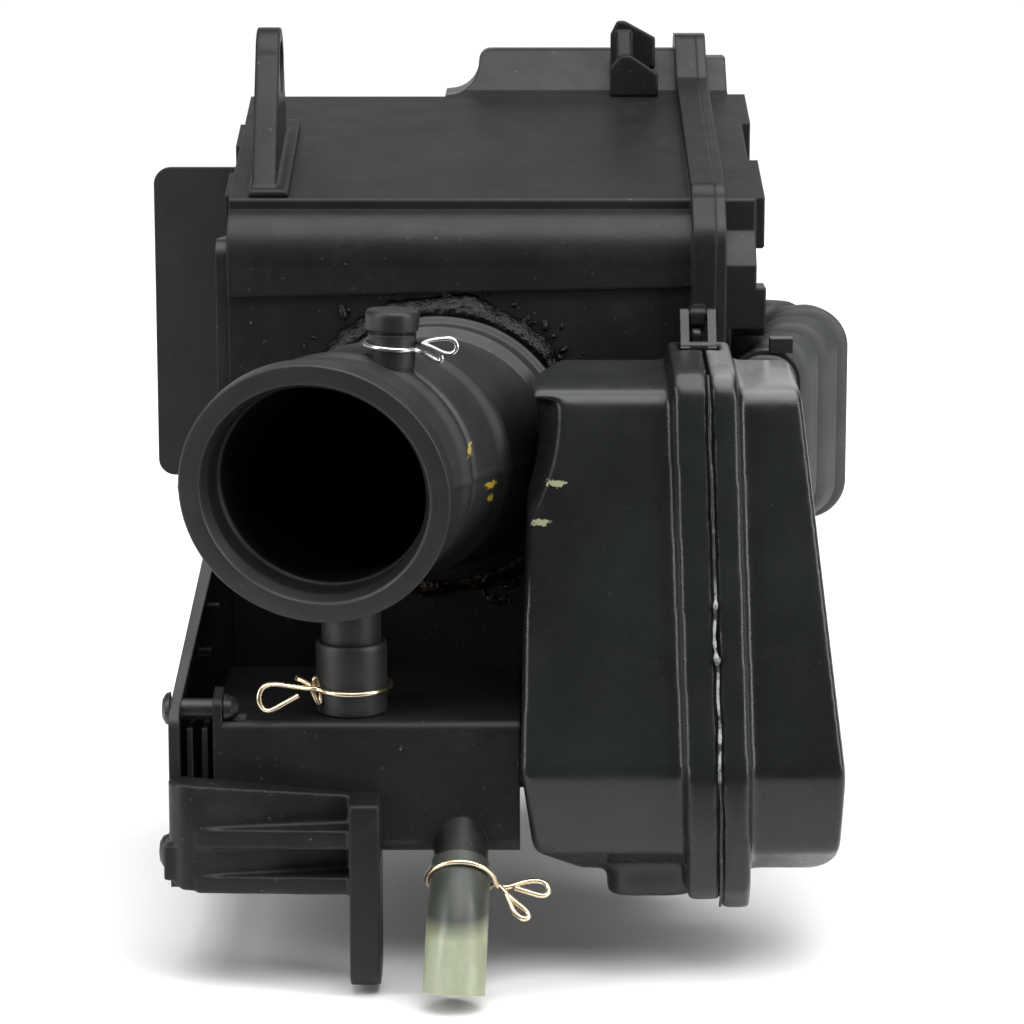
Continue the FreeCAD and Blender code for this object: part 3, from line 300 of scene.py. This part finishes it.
def flash_finish():
    """Weld flash: black plastic, drawn white where it is torn, halfway down the seam."""
    g = Graph("flash_finish")
    torn = g.range(g.noise(0.0030, 4.0, 0.6), 0.46, 0.56, 0.0, 0.9)
    split = g.add("ShaderNodeSeparateXYZ", Vector=g.place)
    high = g.range(split.outputs["Z"], mm(0, 0, -4).z, mm(0, 0, -9).z, 0.0, 1.0)
    low = g.range(split.outputs["Z"], mm(0, 0, -50).z, mm(0, 0, -42).z, 0.0, 1.0)
    share = g.times(torn, g.times(high, low))
    faint = g.range(g.noise(0.0015, 3.0), 0.60, 0.68, 0.0, 0.25)
    base = g.mix(faint, grey((0.012, 0.013, 0.014)), grey((0.25, 0.26, 0.25)))
    g.put(g.shader.inputs["Base Color"], g.mix(share, base, grey((0.36, 0.37, 0.36))))
    g.put(g.shader.inputs["Roughness"], g.range(g.noise(0.002, 3.0), 0.3, 0.7, 0.3, 0.6))
    g.put(g.shader.inputs["Normal"], g.bump(g.noise(0.0008, 4.0), 0.0001, 0.6))
    return g.material


def hose_finish():
    """Milky soft hose, yellowed a little and cloudy towards its end."""
    g = Graph("hose_finish")
    stain = g.range(g.noise(0.010, 4.0, 0.6, (1, 1, 0.45)), 0.38, 0.66, 0.0, 1.0)
    base = g.mix(stain, grey((0.34, 0.38, 0.28)), grey((0.25, 0.265, 0.165)))
    split = g.add("ShaderNodeSeparateXYZ", Vector=g.place)
    nipple = g.range(split.outputs["Z"], mm(0, 0, -77).z, mm(0, 0, -73).z, 0.0, 0.94)
    base = g.mix(nipple, base, grey((0.020, 0.024, 0.022)))
    g.put(g.shader.inputs["Base Color"], base)
    g.put(g.shader.inputs["Roughness"], g.range(g.noise(0.006, 3.0), 0.3, 0.7, 0.28, 0.48))
    g.shader.inputs["Alpha"].default_value = 0.97
    g.shader.inputs["Subsurface Weight"].default_value = 0.25
    g.shader.inputs["Subsurface Scale"].default_value = 0.003
    g.put(g.shader.inputs["Normal"], g.bump(g.noise(0.007, 3.0), 0.0003, 0.5))
    return g.material


def metal(name, colour, tarnish, rough):
    """Plated wire or screw: a soft tarnish over long patches, and an uneven shine."""
    g = Graph(name)
    patches = g.range(g.noise(0.007, 2.0, 0.5), 0.40, 0.72, 0.0, 0.6)
    g.put(g.shader.inputs["Base Color"], g.mix(patches, grey(colour), grey(tarnish)))
    g.shader.inputs["Metallic"].default_value = 1.0
    g.put(g.shader.inputs["Roughness"], g.range(g.noise(0.005, 2.0), 0.3, 0.7, rough - 0.05, rough + 0.08))
    return g.material


def foam_finish():
    g = Graph("foam_finish")
    cells = g.add("ShaderNodeTexVoronoi", Vector=g.place, Scale=900.0).outputs["Distance"]
    base = g.mix(g.range(cells, 0.1, 0.7, 0, 1), grey((0.03, 0.03, 0.035)), grey((0.24, 0.25, 0.26)))
    g.put(g.shader.inputs["Base Color"], base)
    g.shader.inputs["Roughness"].default_value = 0.9
    g.put(g.shader.inputs["Normal"], g.bump(cells, 0.0006, 0.9))
    return g.material


def paper():
    g = Graph("paper")
    base = g.mix(g.noise(0.4, 2.0), grey((0.90, 0.90, 0.90)), grey((0.93, 0.93, 0.93)))
    g.put(g.shader.inputs["Base Color"], base)
    g.shader.inputs["Roughness"].default_value = 0.85
    return g.material


SCUFF = (0.34, 0.34, 0.22)
PAINT = (0.42, 0.30, 0.03)
RESONATOR_MARKS = [
    (mm(9.1, -41.5, 14.2), (0.0021, 0.006, 0.0008), SCUFF),
    (mm(6.0, -43.5, 6.2), (0.0018, 0.006, 0.0007), SCUFF),
]
BOOT_MARKS = [
    (mm(-4.6, -34, 12.9), (0.0011, 0.006, 0.0008), PAINT),
    (mm(-4.7, -34, 9.9), (0.0006, 0.006, 0.0010), PAINT),
    (mm(-9.0, -42, 21.8), (0.0006, 0.006, 0.0016), PAINT),
]
# The pale-edge share here is partly a painted highlight along the shells' edges.
SATIN_SHELL = {"colour": (0.0090, 0.0104, 0.0112), "rough": 0.27, "grain": 0.0005, "depth": 0.00001,
               "dust": 0.10, "wear_and_highlight": 0.12, "cloud": 0.05, "specular": 0.42}
FINISHES = {
    "case": moulded("case_finish", (0.0090, 0.0092, 0.0100), 0.42, grain=0.0006, edge=0.0008, wear_and_highlight=0.15,
                    specular=0.30),
    "cover": moulded("cover_finish", (0.0100, 0.0108, 0.0112), 0.44, edge=0.0008, specular=0.38),
    # The outer half gets far more painted light on its upward faces than the inner half.
    "resonator": moulded("resonator_finish", painted_top_light=0.06, marks=RESONATOR_MARKS, **SATIN_SHELL),
    "resonator_right": moulded("resonator_right_finish", painted_top_light=0.62, **SATIN_SHELL),
    "panel": moulded("panel_finish", (0.0075, 0.008, 0.0082), 0.46, dust=0.3),
    "bracket": moulded("bracket_finish", (0.0058, 0.0065, 0.0066), 0.48, grain=0.0006, specular=0.32),
    "sheet": moulded("sheet_finish", (0.0095, 0.0106, 0.0118), 0.56, grain=0.0009, dust=0.2),
    "boot": moulded("boot_finish", (0.0160, 0.0178, 0.0175), 0.46, grain=0.0005, dust=0.25,
                    marks=BOOT_MARKS),
    # Painted shade: the boot's mouth and throat finishes are darker and duller because its inside lies in
    # shade.
    "painted_shade_mouth": moulded("painted_shade_mouth_finish", (0.0060, 0.0064, 0.0066), 0.50, dust=0.1, wear_and_highlight=0.3,
                          specular=0.35),
    "painted_shade_throat": moulded("painted_shade_throat_finish", (0.0012, 0.0012, 0.0014), 0.60, dust=0.0, wear_and_highlight=0.0,
                           specular=0.12),
    "elbow": moulded("elbow_finish", (0.029, 0.033, 0.030), 0.56, grain=0.0005, dust=0.2),
    "cap": moulded("cap_finish", (0.0120, 0.0136, 0.0140), 0.48, grain=0.0005, dust=0.25),
    "clip": moulded("clip_finish", (0.011, 0.0115, 0.012), 0.38, edge=0.0003, dust=0.2),
    "gasket": moulded("gasket_finish", (0.010, 0.010, 0.010), 0.70, edge=0.0003),
    "sealant": sealant_finish(),
    "flash": flash_finish(),
    "hose": hose_finish(),
    "zinc": metal("zinc_finish", (0.80, 0.80, 0.78), (0.52, 0.52, 0.50), 0.24),
    "gold": metal("gold_finish", (0.86, 0.74, 0.50), (0.62, 0.47, 0.34), 0.26),
    "steel": metal("steel_finish", (0.62, 0.62, 0.62), (0.35, 0.35, 0.35), 0.34),
    "foam": foam_finish(),
}


# --- making pieces ------------------------------------------------------------------
def finish_piece(piece, finish, body, node):
    piece.data.materials.clear()
    piece.data.materials.append(FINISHES[finish])
    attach(piece, body)
    if node:
        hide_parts(node)
    return piece


def mesh_piece(name, verts, faces, finish, body="housing", node=None):
    mesh = bpy.data.meshes.new(name)
    mesh.from_pydata(verts, [], faces)
    mesh.validate()
    shell = bmesh.new()
    shell.from_mesh(mesh)
    bmesh.ops.recalc_face_normals(shell, faces=shell.faces)
    shell.to_mesh(mesh)
    shell.free()
    mesh.shade_smooth()
    piece = bpy.data.objects.new(name, mesh)
    SCENE.collection.objects.link(piece)
    return finish_piece(piece, finish, body, node)


def ring_faces(rings, count, closed=False):
    """Quads between rings of count points; closed also joins the last ring to the first."""
    faces = []
    spans = rings if closed else rings - 1
    for ring in range(spans):
        here = ring * count
        there = ((ring + 1) % rings) * count
        for i in range(count):
            j = (i + 1) % count
            faces.append((here + i, here + j, there + j, there + i))
    return faces


def rounded(profile, reach, steps=4, closed=False):
    """A profile whose corners are replaced by short curves that start reach before them."""
    points = [Vector(p) for p in profile]
    out = []
    for index, corner in enumerate(points):
        if not closed and index in (0, len(points) - 1):
            out.append(corner)
            continue
        before = points[index - 1] - corner
        after = points[(index + 1) % len(points)] - corner
        near = min(reach, 0.45 * before.length, 0.45 * after.length)
        start = corner + before.normalized() * near
        end = corner + after.normalized() * near
        for step in range(steps + 1):
            t = step / steps
            out.append(start * (1 - t) ** 2 + corner * (2 * t * (1 - t)) + end * t * t)
    return out


def turned(name, start, way, profile, finish, body="housing", node=None, reach=0.5, wobble=0.0):
    """Closed solid of revolution from (distance along way, radius) in millimetres."""
    way = Vector(way).normalized()
    side = way.orthogonal().normalized()
    other = way.cross(side)
    line = rounded(profile, reach)
    count = 64
    verts = []
    for along, radius in line:
        for i in range(count):
            angle = 2 * math.pi * i / count
            spot = (side * math.cos(angle) + other * math.sin(angle)) * max(radius, 0.01)
            spot += way * along
            if wobble:
                spot += spot.normalized() * noise.noise(spot * 0.35) * wobble
            verts.append(start + spot * MM)
    faces = ring_faces(len(line), count)
    faces.append(tuple(range(count)))
    faces.append(tuple((len(line) - 1) * count + i for i in range(count)))
    return mesh_piece(name, verts, faces, finish, body, node)


# Box round the small post that the latch hooks over. The shell's smoothing would wear it away, so it
# is weak in the box and comes back over POST_FADE metres outside it.
CATCH_POST = (mm(38.2, -20, 39.4), mm(42.6, 0, 43.5))
POST_FADE = 0.0012
POST_SHARE = 0.05


def distance_past_box(point, low, high):
    """How far a point lies outside a box: 0 inside it."""
    return max(0.0, *(max(low[i] - point[i], point[i] - high[i]) for i in range(3)))


def softened(node, voxel, passes, share, finish, body="housing"):
    """A copy of a CAD node with every edge rounded in its mesh; it stands for the node."""
    source = NODES[node]
    mesh = source.data.copy()
    whole = bmesh.new()
    whole.from_mesh(mesh)
    bmesh.ops.remove_doubles(whole, verts=whole.verts, dist=1e-6)
    whole.to_mesh(mesh)
    whole.free()
    piece = bpy.data.objects.new(node + "_moulding", mesh)
    SCENE.collection.objects.link(piece)
    remesh = piece.modifiers.new("remesh", "REMESH")
    remesh.mode = "VOXEL"
    remesh.voxel_size = voxel * MM
    settle = piece.modifiers.new("settle", "SHRINKWRAP")
    settle.target = source
    settle.wrap_method = "NEAREST_SURFACEPOINT"
    bpy.context.view_layer.update()
    graph = bpy.context.evaluated_depsgraph_get()
    fine = bpy.data.meshes.new_from_object(piece.evaluated_get(graph))
    piece.modifiers.clear()
    piece.data = fine
    shares = piece.vertex_groups.new(name="softness")
    shares.add(range(len(fine.vertices)), 1.0, "REPLACE")
    for vertex in fine.vertices:
        far = distance_past_box(vertex.co, *CATCH_POST)
        if far < POST_FADE:
            shares.add([vertex.index], max(POST_SHARE, far / POST_FADE), "REPLACE")
    soften = piece.modifiers.new("soften", "SMOOTH")
    soften.vertex_group = shares.name
    soften.factor = 0.5
    soften.iterations = passes
    thin = piece.modifiers.new("thin", "DECIMATE")
    thin.ratio = share
    bpy.context.view_layer.update()
    graph = bpy.context.evaluated_depsgraph_get()
    final = bpy.data.meshes.new_from_object(piece.evaluated_get(graph))
    piece.modifiers.clear()
    piece.data = final
    final.shade_smooth()
    return finish_piece(piece, finish, body, node)


def wire_piece(name, points, radius, finish, body, node=None):
    """Bent wire along points."""
    data = bpy.data.curves.new(name, "CURVE")
    data.dimensions = "3D"
    data.bevel_depth = radius * MM
    data.bevel_resolution = 5
    data.resolution_u = 6
    data.use_fill_caps = True
    spline = data.splines.new("NURBS")
    spline.points.add(len(points) - 1)
    for place, point in zip(spline.points, points):
        place.co = (*point, 1)
    spline.use_endpoint_u = True
    spline.order_u = 3
    piece = bpy.data.objects.new(name, data)
    SCENE.collection.objects.link(piece)
    return finish_piece(piece, finish, body, node)


# --- outlet boot ----------------------------------------------------------------------
BOOT_BASE = Vector((-15.9, 0.0, 14.8))
BOOT_LIP = Vector((-40.9, -58.0, 14.6))
BOOT_FACE = Vector((-0.156, -0.968, -0.197)).normalized()
BOOT_PULL = 20.0
BOOT_SIDES = 180
BOOT_RADIUS = 26.1                           # outside, where the nipples grow out
BOOT_DEPTH = 58.0                            # from its base to the middle of its lip, along Y
BOOT_UNIT = 60.0                             # length of centre line for t = 1, near its ends
# These two radii mark where the boot's inside gets painted shade.
MOUTH_RADIUS = 24.2                          # rings narrower than this are inside the mouth
THROAT_RADIUS = 22.3                         # and narrower than this, beyond its step
PLUG_AXIS = (-25.1, -45)
SLEEVE_AXIS = (-34.1, -40)


def boot_centre(t):
    """Point on the boot's centre line; it runs on straight behind t = 0."""
    if t < 0:
        return BOOT_BASE + Vector((0, -3 * BOOT_PULL * t, 0))
    points = (BOOT_BASE, BOOT_BASE + Vector((0, -BOOT_PULL, 0)), BOOT_LIP - BOOT_FACE * BOOT_PULL, BOOT_LIP)
    weights = ((1 - t) ** 3, 3 * t * (1 - t) ** 2, 3 * t * t * (1 - t), t ** 3)
    return sum((p * w for p, w in zip(points, weights)), Vector())


def boot_frame(t):
    """(facing, right, up) of the boot's section at t."""
    s = min(max(t, 0.0), 1.0)
    blend = s * s * (3 - 2 * s)
    facing = (Vector((0, -1, 0)) * (1 - blend) + BOOT_FACE * blend).normalized()
    right = facing.cross(Vector((0, 0, -1))).normalized()
    return facing, right, right.cross(facing)


def boot_skin(x, y, side):
    """Height of the boot's outer surface over (x, y), on its upper (1) or lower (-1) side."""
    t = min(max(-y / BOOT_DEPTH, 0.0), 1.0)
    for _ in range(6):
        t += (boot_centre(t).y - y) / BOOT_DEPTH
    centre = boot_centre(t)
    reach = BOOT_RADIUS ** 2 - (x - centre.x) ** 2
    return centre.z + side * math.sqrt(max(reach, 0.0))


def boot_nipple(name, axis, side, radius, end):
    """Short pipe that grows out of the boot with a soft fillet, as far as z = end."""
    count = 64
    flare = ((1.9, -1.2), (1.3, 0.0), (0.75, 0.5), (0.3, 1.2), (0.05, 2.0), (0.0, 2.8))
    tip = ((0.0, 0.5), (-0.15, 0.15), (-0.5, 0.0), (-1.6, 0.0), (-1.8, 0.3), (-1.8, 3.0))
    verts = []
    for grow, lift in flare:
        for i in range(count):
            angle = 2 * math.pi * i / count
            x = axis[0] + (radius + grow) * math.cos(angle)
            y = axis[1] + (radius + grow) * math.sin(angle)
            verts.append(mm(x, y, boot_skin(x, y, side) + side * lift))
    for grow, back in tip:
        for i in range(count):
            angle = 2 * math.pi * i / count
            x = axis[0] + (radius + grow) * math.cos(angle)
            y = axis[1] + (radius + grow) * math.sin(angle)
            verts.append(mm(x, y, end - side * back))
    rings = len(flare) + len(tip)
    faces = ring_faces(rings, count)
    faces.append(tuple(range(count)))
    faces.append(tuple((rings - 1) * count + i for i in range(count)))
    mesh_piece(name, verts, faces, "boot")


def outlet_boot():
    """Offset rubber boot: rings, lip with a bevelled mouth, and a raised parting line."""
    outer = [
        (-0.092, 23.5), (-0.092, 28.4), (-0.043, 28.4), (-0.043, 25.9), (0.0, 25.9), (0.0, 29.6),
        (0.062, 29.6), (0.075, 28.0), (0.135, 27.9), (0.158, 25.6), (0.455, 25.0), (0.478, 25.0),
        (0.492, 27.1), (0.515, 27.1), (0.545, 26.2), (0.66, 25.6), (0.685, 24.4), (0.705, 24.4),
        (0.718, 26.9), (0.74, 26.9), (0.77, 26.1), (0.85, 25.6), (0.875, 24.2), (0.912, 24.2),
        (0.928, 28.6), (1.0, 28.6),
    ]
    inner = [(1.0, 24.5), (0.990, 24.0), (0.955, 22.9), (0.885, 22.7), (0.870, 21.9), (0.6, 21.8),
             (0.3, 21.8), (0.0, 22.2), (-0.092, 22.6)]
    line = rounded([(t * BOOT_UNIT, r) for t, r in outer + inner], 0.42, closed=True)
    filled = []
    for here, there in zip(line, line[1:] + line[:1]):
        parts = max(1, round((there - here).length / 1.6))
        filled += [here.lerp(there, k / parts) for k in range(parts)]
    verts = []
    for along, radius in filled:
        t = along / BOOT_UNIT
        facing, right, up = boot_frame(t)
        centre = boot_centre(min(t, 1.0))
        for i in range(BOOT_SIDES):
            angle = 2 * math.pi * i / BOOT_SIDES
            out = right * math.cos(angle) + up * math.sin(angle)
            tall = 0.10 if t > 0.92 else 0.34
            ridge = tall if i in (1, BOOT_SIDES // 2 + 1) and radius > 24.0 else 0.0
            sag = 0.12 * noise.noise(Vector((math.cos(angle) * 1.3, math.sin(angle) * 1.3, t * 4)))
            push = facing * (ridge * 0.7 if t > 0.99 else 0)
            spot = centre + out * (radius + ridge + sag) + push
            verts.append(mm(*spot))
    faces = ring_faces(len(filled), BOOT_SIDES, closed=True)
    boot = mesh_piece("boot_body", verts, faces, "boot", node="outlet_boot")
    # Painted shade: faces inside the mouth get a darker finish, and those in the throat beyond its step a
    # near-black, dull one.
    boot.data.materials.append(FINISHES["painted_shade_mouth"])
    boot.data.materials.append(FINISHES["painted_shade_throat"])
    mouth = {ring for ring, (along, radius) in enumerate(filled)
             if radius < MOUTH_RADIUS and along < 0.995 * BOOT_UNIT}
    throat = {ring for ring, (along, radius) in enumerate(filled)
              if radius < THROAT_RADIUS and along < 0.88 * BOOT_UNIT}
    for face in boot.data.polygons:
        rings = {v // BOOT_SIDES for v in face.vertices}
        face.material_index = 2 if rings <= throat else 1 if rings <= mouth else 0
    boot_nipple("boot_spigot", PLUG_AXIS, 1, 4.45, 47.4)
    boot_nipple("boot_lower_nipple", SLEEVE_AXIS, -1, 6.35, -26.4)
    return boot


def sealant_ring():
    """Sealant smeared round the boot's flange, with crumbs beside it."""
    count, across = 360, 12
    inner = 29.2
    verts = []
    for i in range(count):
        angle = 2 * math.pi * i / count
        way = Vector((math.cos(angle), 0, math.sin(angle)))
        rough = noise.noise(way * 3.0 + Vector((5, 1, 2)))
        fine = noise.noise(way * 14.0)
        width = 4.5 + 1.7 * rough + 0.9 * fine
        tall = 3.4 + 0.9 * rough + 0.5 * noise.noise(way * 9.0 + Vector((1, 7, 3)))
        for k in range(across):
            share = k / (across - 1)
            lump = 0.45 * noise.noise(Vector((way.x * 30, share * 5, way.z * 30)))
            height = tall * math.sin(math.pi * (0.28 + 0.72 * share)) ** 0.9
            height += lump * math.sin(math.pi * share)
            if k == across - 1:
                height = -0.3
            spot = BOOT_BASE + way * (inner + width * share) + Vector((0, -max(height, -0.3), 0))
            verts.append(mm(*spot))
        verts.append(mm(*(BOOT_BASE + way * inner + Vector((0, 0.4, 0)))))
    faces = ring_faces(count, across + 1, closed=True)
    mesh_piece("sealant_ring", verts, faces, "sealant", node="boot_sealant")
    draw = random.Random(7)
    crumbs = bmesh.new()
    for _ in range(46):
        angle = math.radians(draw.choice([draw.uniform(25, 155), draw.uniform(-75, -20)]))
        far = draw.uniform(32.5, 38.0)
        size = draw.uniform(0.25, 0.9)
        spot = BOOT_BASE + Vector((math.cos(angle) * far, -size * 0.3, math.sin(angle) * far))
        place = Matrix.Translation(mm(*spot)) @ Matrix.Rotation(draw.uniform(0, 3), 4, "Y")
        stretch = Matrix.Diagonal((draw.uniform(1, 3.2), 0.8, draw.uniform(0.6, 1.3), 1))
        bmesh.ops.create_icosphere(crumbs, subdivisions=2, radius=size * MM, matrix=place @ stretch)
    mesh = bpy.data.meshes.new("sealant_crumbs")
    crumbs.to_mesh(mesh)
    crumbs.free()
    mesh.shade_smooth()
    piece = bpy.data.objects.new("sealant_crumbs", mesh)
    SCENE.collection.objects.link(piece)
    finish_piece(piece, "sealant", "housing", None)


# --- breathers and clamps ---------------------------------------------------------------
def breather_plug():
    turned("plug_cap", mm(*PLUG_AXIS, 39.6), (0.03, 0, 1),
           [(0, 4.6), (0, 4.95), (6.4, 5.0), (7.0, 5.15), (7.15, 4.5), (7.5, 4.5), (7.6, 5.45), (11.2, 5.7),
            (11.9, 5.3), (11.9, 0)],
           "cap", body="breather_cap", node="breather_plug", reach=0.45, wobble=0.08)


def breather_sleeve():
    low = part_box("breather_sleeve")[0].z
    start = mm(*SLEEVE_AXIS, 0)
    start.z = low
    turned("sleeve_body", start, (0, 0, 1),
           [(0, 6.9), (0.2, 7.5), (14.6, 7.6), (15.4, 7.2), (15.4, 6.5), (12, 6.4)],
           "cap", node="breather_sleeve", reach=0.7, wobble=0.1)


def spring_clamp(name, centre, axis, out, radius, wire, ears, finish, body, node, tilt=0.0):
    """Spring wire clamp: one turn of wire, and two ears of (outward, along the axis, sideways) points."""
    axis = Vector(axis).normalized()
    out = Vector(out)
    out = (out - axis * out.dot(axis)).normalized()
    side = axis.cross(out)
    ring = radius + wire
    first, second = ears
    path = [centre + (out * (ring + a) + axis * (b + wire) + side * c) * MM for a, b, c in reversed(first)]
    steps = 40
    for step in range(steps + 1):
        share = step / steps
        angle = math.radians(14 + 332 * share)
        lift = wire * (1 - 2 * share) + tilt * math.sin(angle)
        spot = out * math.cos(angle) * ring + side * math.sin(angle) * ring + axis * lift
        path.append(centre + spot * MM)
    path += [centre + (out * (ring + a) + axis * (b - wire) + side * c) * MM for a, b, c in second]
    wire_piece(name, path, wire, finish, body, node)


def plug_clamp():
    eye = [(1.0, 0.2, 0.3), (3.6, 1.2, 0), (6.8, 1.9, -0.4), (8.6, 1.6, -0.6), (9.2, 0.2, -0.6),
           (8.4, -1.2, -0.5), (6.4, -1.5, -0.4), (4.0, -0.5, -0.4), (1.6, 0.1, -0.5)]
    hook = [(1.0, -0.4, 0), (2.6, -1.4, 0.4), (4.4, -2.2, 0.6), (5.4, -2.2, 0.6), (5.6, -1.2, 0.6),
            (5.0, -0.8, 0.6)]
    spring_clamp("plug_wire", mm(*PLUG_AXIS, 44.4), (0.06, 0, 1), (0.95, -0.3, 0), 4.95, 0.55, (eye, hook),
                 "zinc", "breather_cap", "plug_clamp", tilt=0.2)


def sleeve_clamp():
    eye = [(0.6, 0.4, 0.2), (3.0, 0.6, 0), (6.5, 1.8, 0), (10.5, 3.0, 0), (13.0, 2.6, 0), (14.0, 0.4, 0),
           (13.2, -2.2, 0), (11.2, -2.9, 0), (7.6, -1.4, 0.5), (5.0, -0.5, 0.6)]
    stub = [(0.2, 1.2, -0.4), (0.4, 3.2, -0.8), (-0.4, 3.6, -0.8), (-0.8, 1.4, -0.4), (-0.4, -1.6, 0.8),
            (0.6, -1.6, 0.8), (0.8, 1.2, -0.8), (2.2, 3.0, -0.6), (4.6, 4.3, -0.4)]
    spring_clamp("sleeve_wire", mm(*SLEEVE_AXIS, -29.9), (-0.05, 0, 1), (-0.86, -0.5, 0), 7.6, 0.6,
                 (eye, stub),
                 "gold", "housing", "sleeve_clamp", tilt=-0.5)


def drain_clamp():
    lean = math.radians(50)
    way = Vector((0, -math.sin(lean), -math.cos(lean)))
    centre = mm(-10.8, -50, -63.5) + way * 7.2 * MM
    eye = [(0.8, 0.3, 0), (3.0, 0.2, 0), (5.8, -1.4, 0), (9.0, -2.4, 0), (11.4, -1.8, 0), (12.0, 0.2, 0),
           (10.6, 1.6, 0), (7.6, 1.0, 0.2), (4.4, 0.3, 0.3)]
    low = [(0.6, 0.6, 0.2), (2.2, 2.8, 0.3), (4.4, 5.0, 0.4), (6.8, 6.8, 0.4), (7.6, 8.4, 0.4),
           (6.2, 9.2, 0.4), (4.4, 8.0, 0.4), (3.4, 5.8, 0.4), (2.4, 3.6, 0.6)]
    spring_clamp("drain_wire", centre, way, (0.97, 0.1, -0.15), 6.55, 0.58, (eye, low),
                 "gold", "housing", "drain_clamp")


# --- intake elbow ------------------------------------------------------------------------
def rounded_section(x0, x1, z0, z1, radius, count=24):
    """Rounded rectangle as (x, z) points, count to a corner, anticlockwise."""
    points = []
    corners = ((x1 - radius, z1 - radius, 0), (x0 + radius, z1 - radius, 90),
               (x0 + radius, z0 + radius, 180), (x1 - radius, z0 + radius, 270))
    for cx, cz, start in corners:
        for step in range(count + 1):
            angle = math.radians(start + 90 * step / count)
            points.append((cx + radius * math.cos(angle), cz + radius * math.sin(angle)))
    return points


def intake_elbow():
    """Ribbed elbow: a mouth, three stepped folds that widen it, and a quarter turn."""
    mouth = (48.9, 62.4, -1.0, 36.0)
    wide = (55.4, 76.2, -6.0, 42.6)
    axis_x, axis_y = 53.9, 24.0
    rings = []

    def section(share, swell, place):
        """One ring: the outline between mouth and wide, set in by swell, moved by place."""
        box = [a + (b - a) * share for a, b in zip(mouth, wide)]
        x0, x1, z0, z1 = box[0] - swell, box[1] + swell, box[2] - swell, box[3] + swell
        ring = rounded_section(x0, x1, z0, z1, 6.0 + 3.0 * share + swell)
        rings.append([place(x, z) for x, z in ring])

    def run_place(y):
        return lambda x, z: Vector((x, y, z))

    def turn_place(angle):
        c, s = math.cos(angle), math.sin(angle)
        return lambda x, z: Vector((axis_x + (x - axis_x) * c, axis_y + (x - axis_x) * s, z))

    def fold(along):
        """How far the folds pull the wall in, at a share of the whole path."""
        return -3.4 * (0.5 - 0.5 * math.cos(2 * math.pi * 4.5 * along)) ** 5

    for wall in (0.0, -2.4):
        stations = []
        for step in range(13):
            stations.append((0.0, 0.0, run_place(-6.1 + 7.1 * step / 12)))
        for step in range(1, 49):
            share = step / 48
            stations.append((share, fold(share * 0.62), run_place(1.0 + 23.0 * share)))
        for step in range(1, 49):
            turn = step / 48
            late = fold(0.62 + 0.38 * turn) if turn < 0.92 else 0.0
            stations.append((1.0, late, turn_place(math.radians(90) * turn)))
        if wall:
            stations.reverse()
        for share, swell, place in stations:
            section(share, swell + wall, place)
    count = len(rings[0])
    verts = [mm(*p) for ring in rings for p in ring]
    mesh_piece("elbow_body", verts, ring_faces(len(rings), count, closed=True), "elbow",
               node="intake_elbow")


# --- weld flash along the resonator's seam ---------------------------------------------------
def seam_flash():
    """Ragged line of weld flash that follows the seam down the front."""
    halves = [NODES["resonator_inner_half"], NODES["resonator_outer_half"]]
    top, bottom = mm(0, 0, 36.5).z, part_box("resonator_outer_half")[0].z + 0.001
    steps = 420
    sides = 8
    verts = []
    last = None
    for step in range(steps + 1):
        z = top + (bottom - top) * step / steps
        x = mm(41.2 + 3.0 * step / steps, 0, 0).x
        hits = [half.ray_cast(Vector((x, -0.3, z)), Vector((0, 1, 0))) for half in halves]
        near = [hit[1].y for hit in hits if hit[0]]
        y = min(near) if near else last
        if last is not None and abs(y - last) > 0.0012:
            y = last + math.copysign(0.0006, y - last)
        last = y
        down = step / steps
        middle = math.exp(-((down - 0.50) / 0.14) ** 2)
        ragged = noise.noise(Vector((0, 0, step * 0.045)))
        torn = max(0.0, noise.noise(Vector((3, 0, step * 0.10)))) * (0.25 + middle)
        wide = 0.30 + 0.12 * ragged + 0.75 * torn
        tall = 0.30 + 0.12 * ragged + 1.0 * torn
        drift = (0.2 + 0.7 * middle) * noise.noise(Vector((0, 5, step * 0.028)))
        for k in range(sides):
            angle = 2 * math.pi * k / sides
            across = drift + wide * math.cos(angle)
            verts.append(Vector((x + across * MM, y - tall * math.sin(angle) * MM, z)))
    faces = ring_faces(steps + 1, sides)
    faces.append(tuple(range(sides)))
    faces.append(tuple(steps * sides + k for k in range(sides)))
    mesh_piece("seam_flash", verts, faces, "flash", node="resonator_seam_bead")


# --- the rest: rounded copies, and finishes on CAD nodes as they are ---------------------------
MOULDINGS = [
    # node, voxel size in millimetres, smoothing passes, share of faces kept, finish, slot
    ("resonator_inner_half", 0.5, 55, 0.15, "resonator", "resonator_plastic"),
    ("resonator_outer_half", 0.5, 55, 0.15, "resonator_right", "resonator_plastic"),
    ("lower_bracket", 0.5, 4, 0.2, "bracket", "bracket_plastic"),
    ("upper_ear", 0.5, 3, 0.3, "case", "case_plastic"),
    ("hose_guide", 0.35, 3, 0.3, "case", "case_plastic"),
]
CAD_FINISHES = {
    "main_case": "case",
    "filter_cover": "cover",
    "sump_box": "case",
    "side_panel": "panel",
    "side_rivet": "clip",
    "back_plate": "sheet",
    "back_plate_screws": "steel",
    "bracket_rivet": "clip",
    "cover_seal": "gasket",
    "cover_screws": "steel",
    "element_frame": "clip",
    "filter_element": "foam",
    "resonator_screws": "steel",
    "latch_clip": "clip",
    "elbow_tie": "clip",
    "drain_tube": "hose",
}

make_camera()
make_lights()
make_floor()
outlet_boot()
sealant_ring()
breather_plug()
breather_sleeve()
plug_clamp()
sleeve_clamp()
drain_clamp()
intake_elbow()
seam_flash()
for node, voxel, passes, share, finish, slot in MOULDINGS:
    softened(node, voxel, passes, share, finish)
for node, finish in CAD_FINISHES.items():
    NODES[node].data.materials.clear()
    NODES[node].data.materials.append(FINISHES[finish])
SCENE.view_settings.view_transform = "Standard"
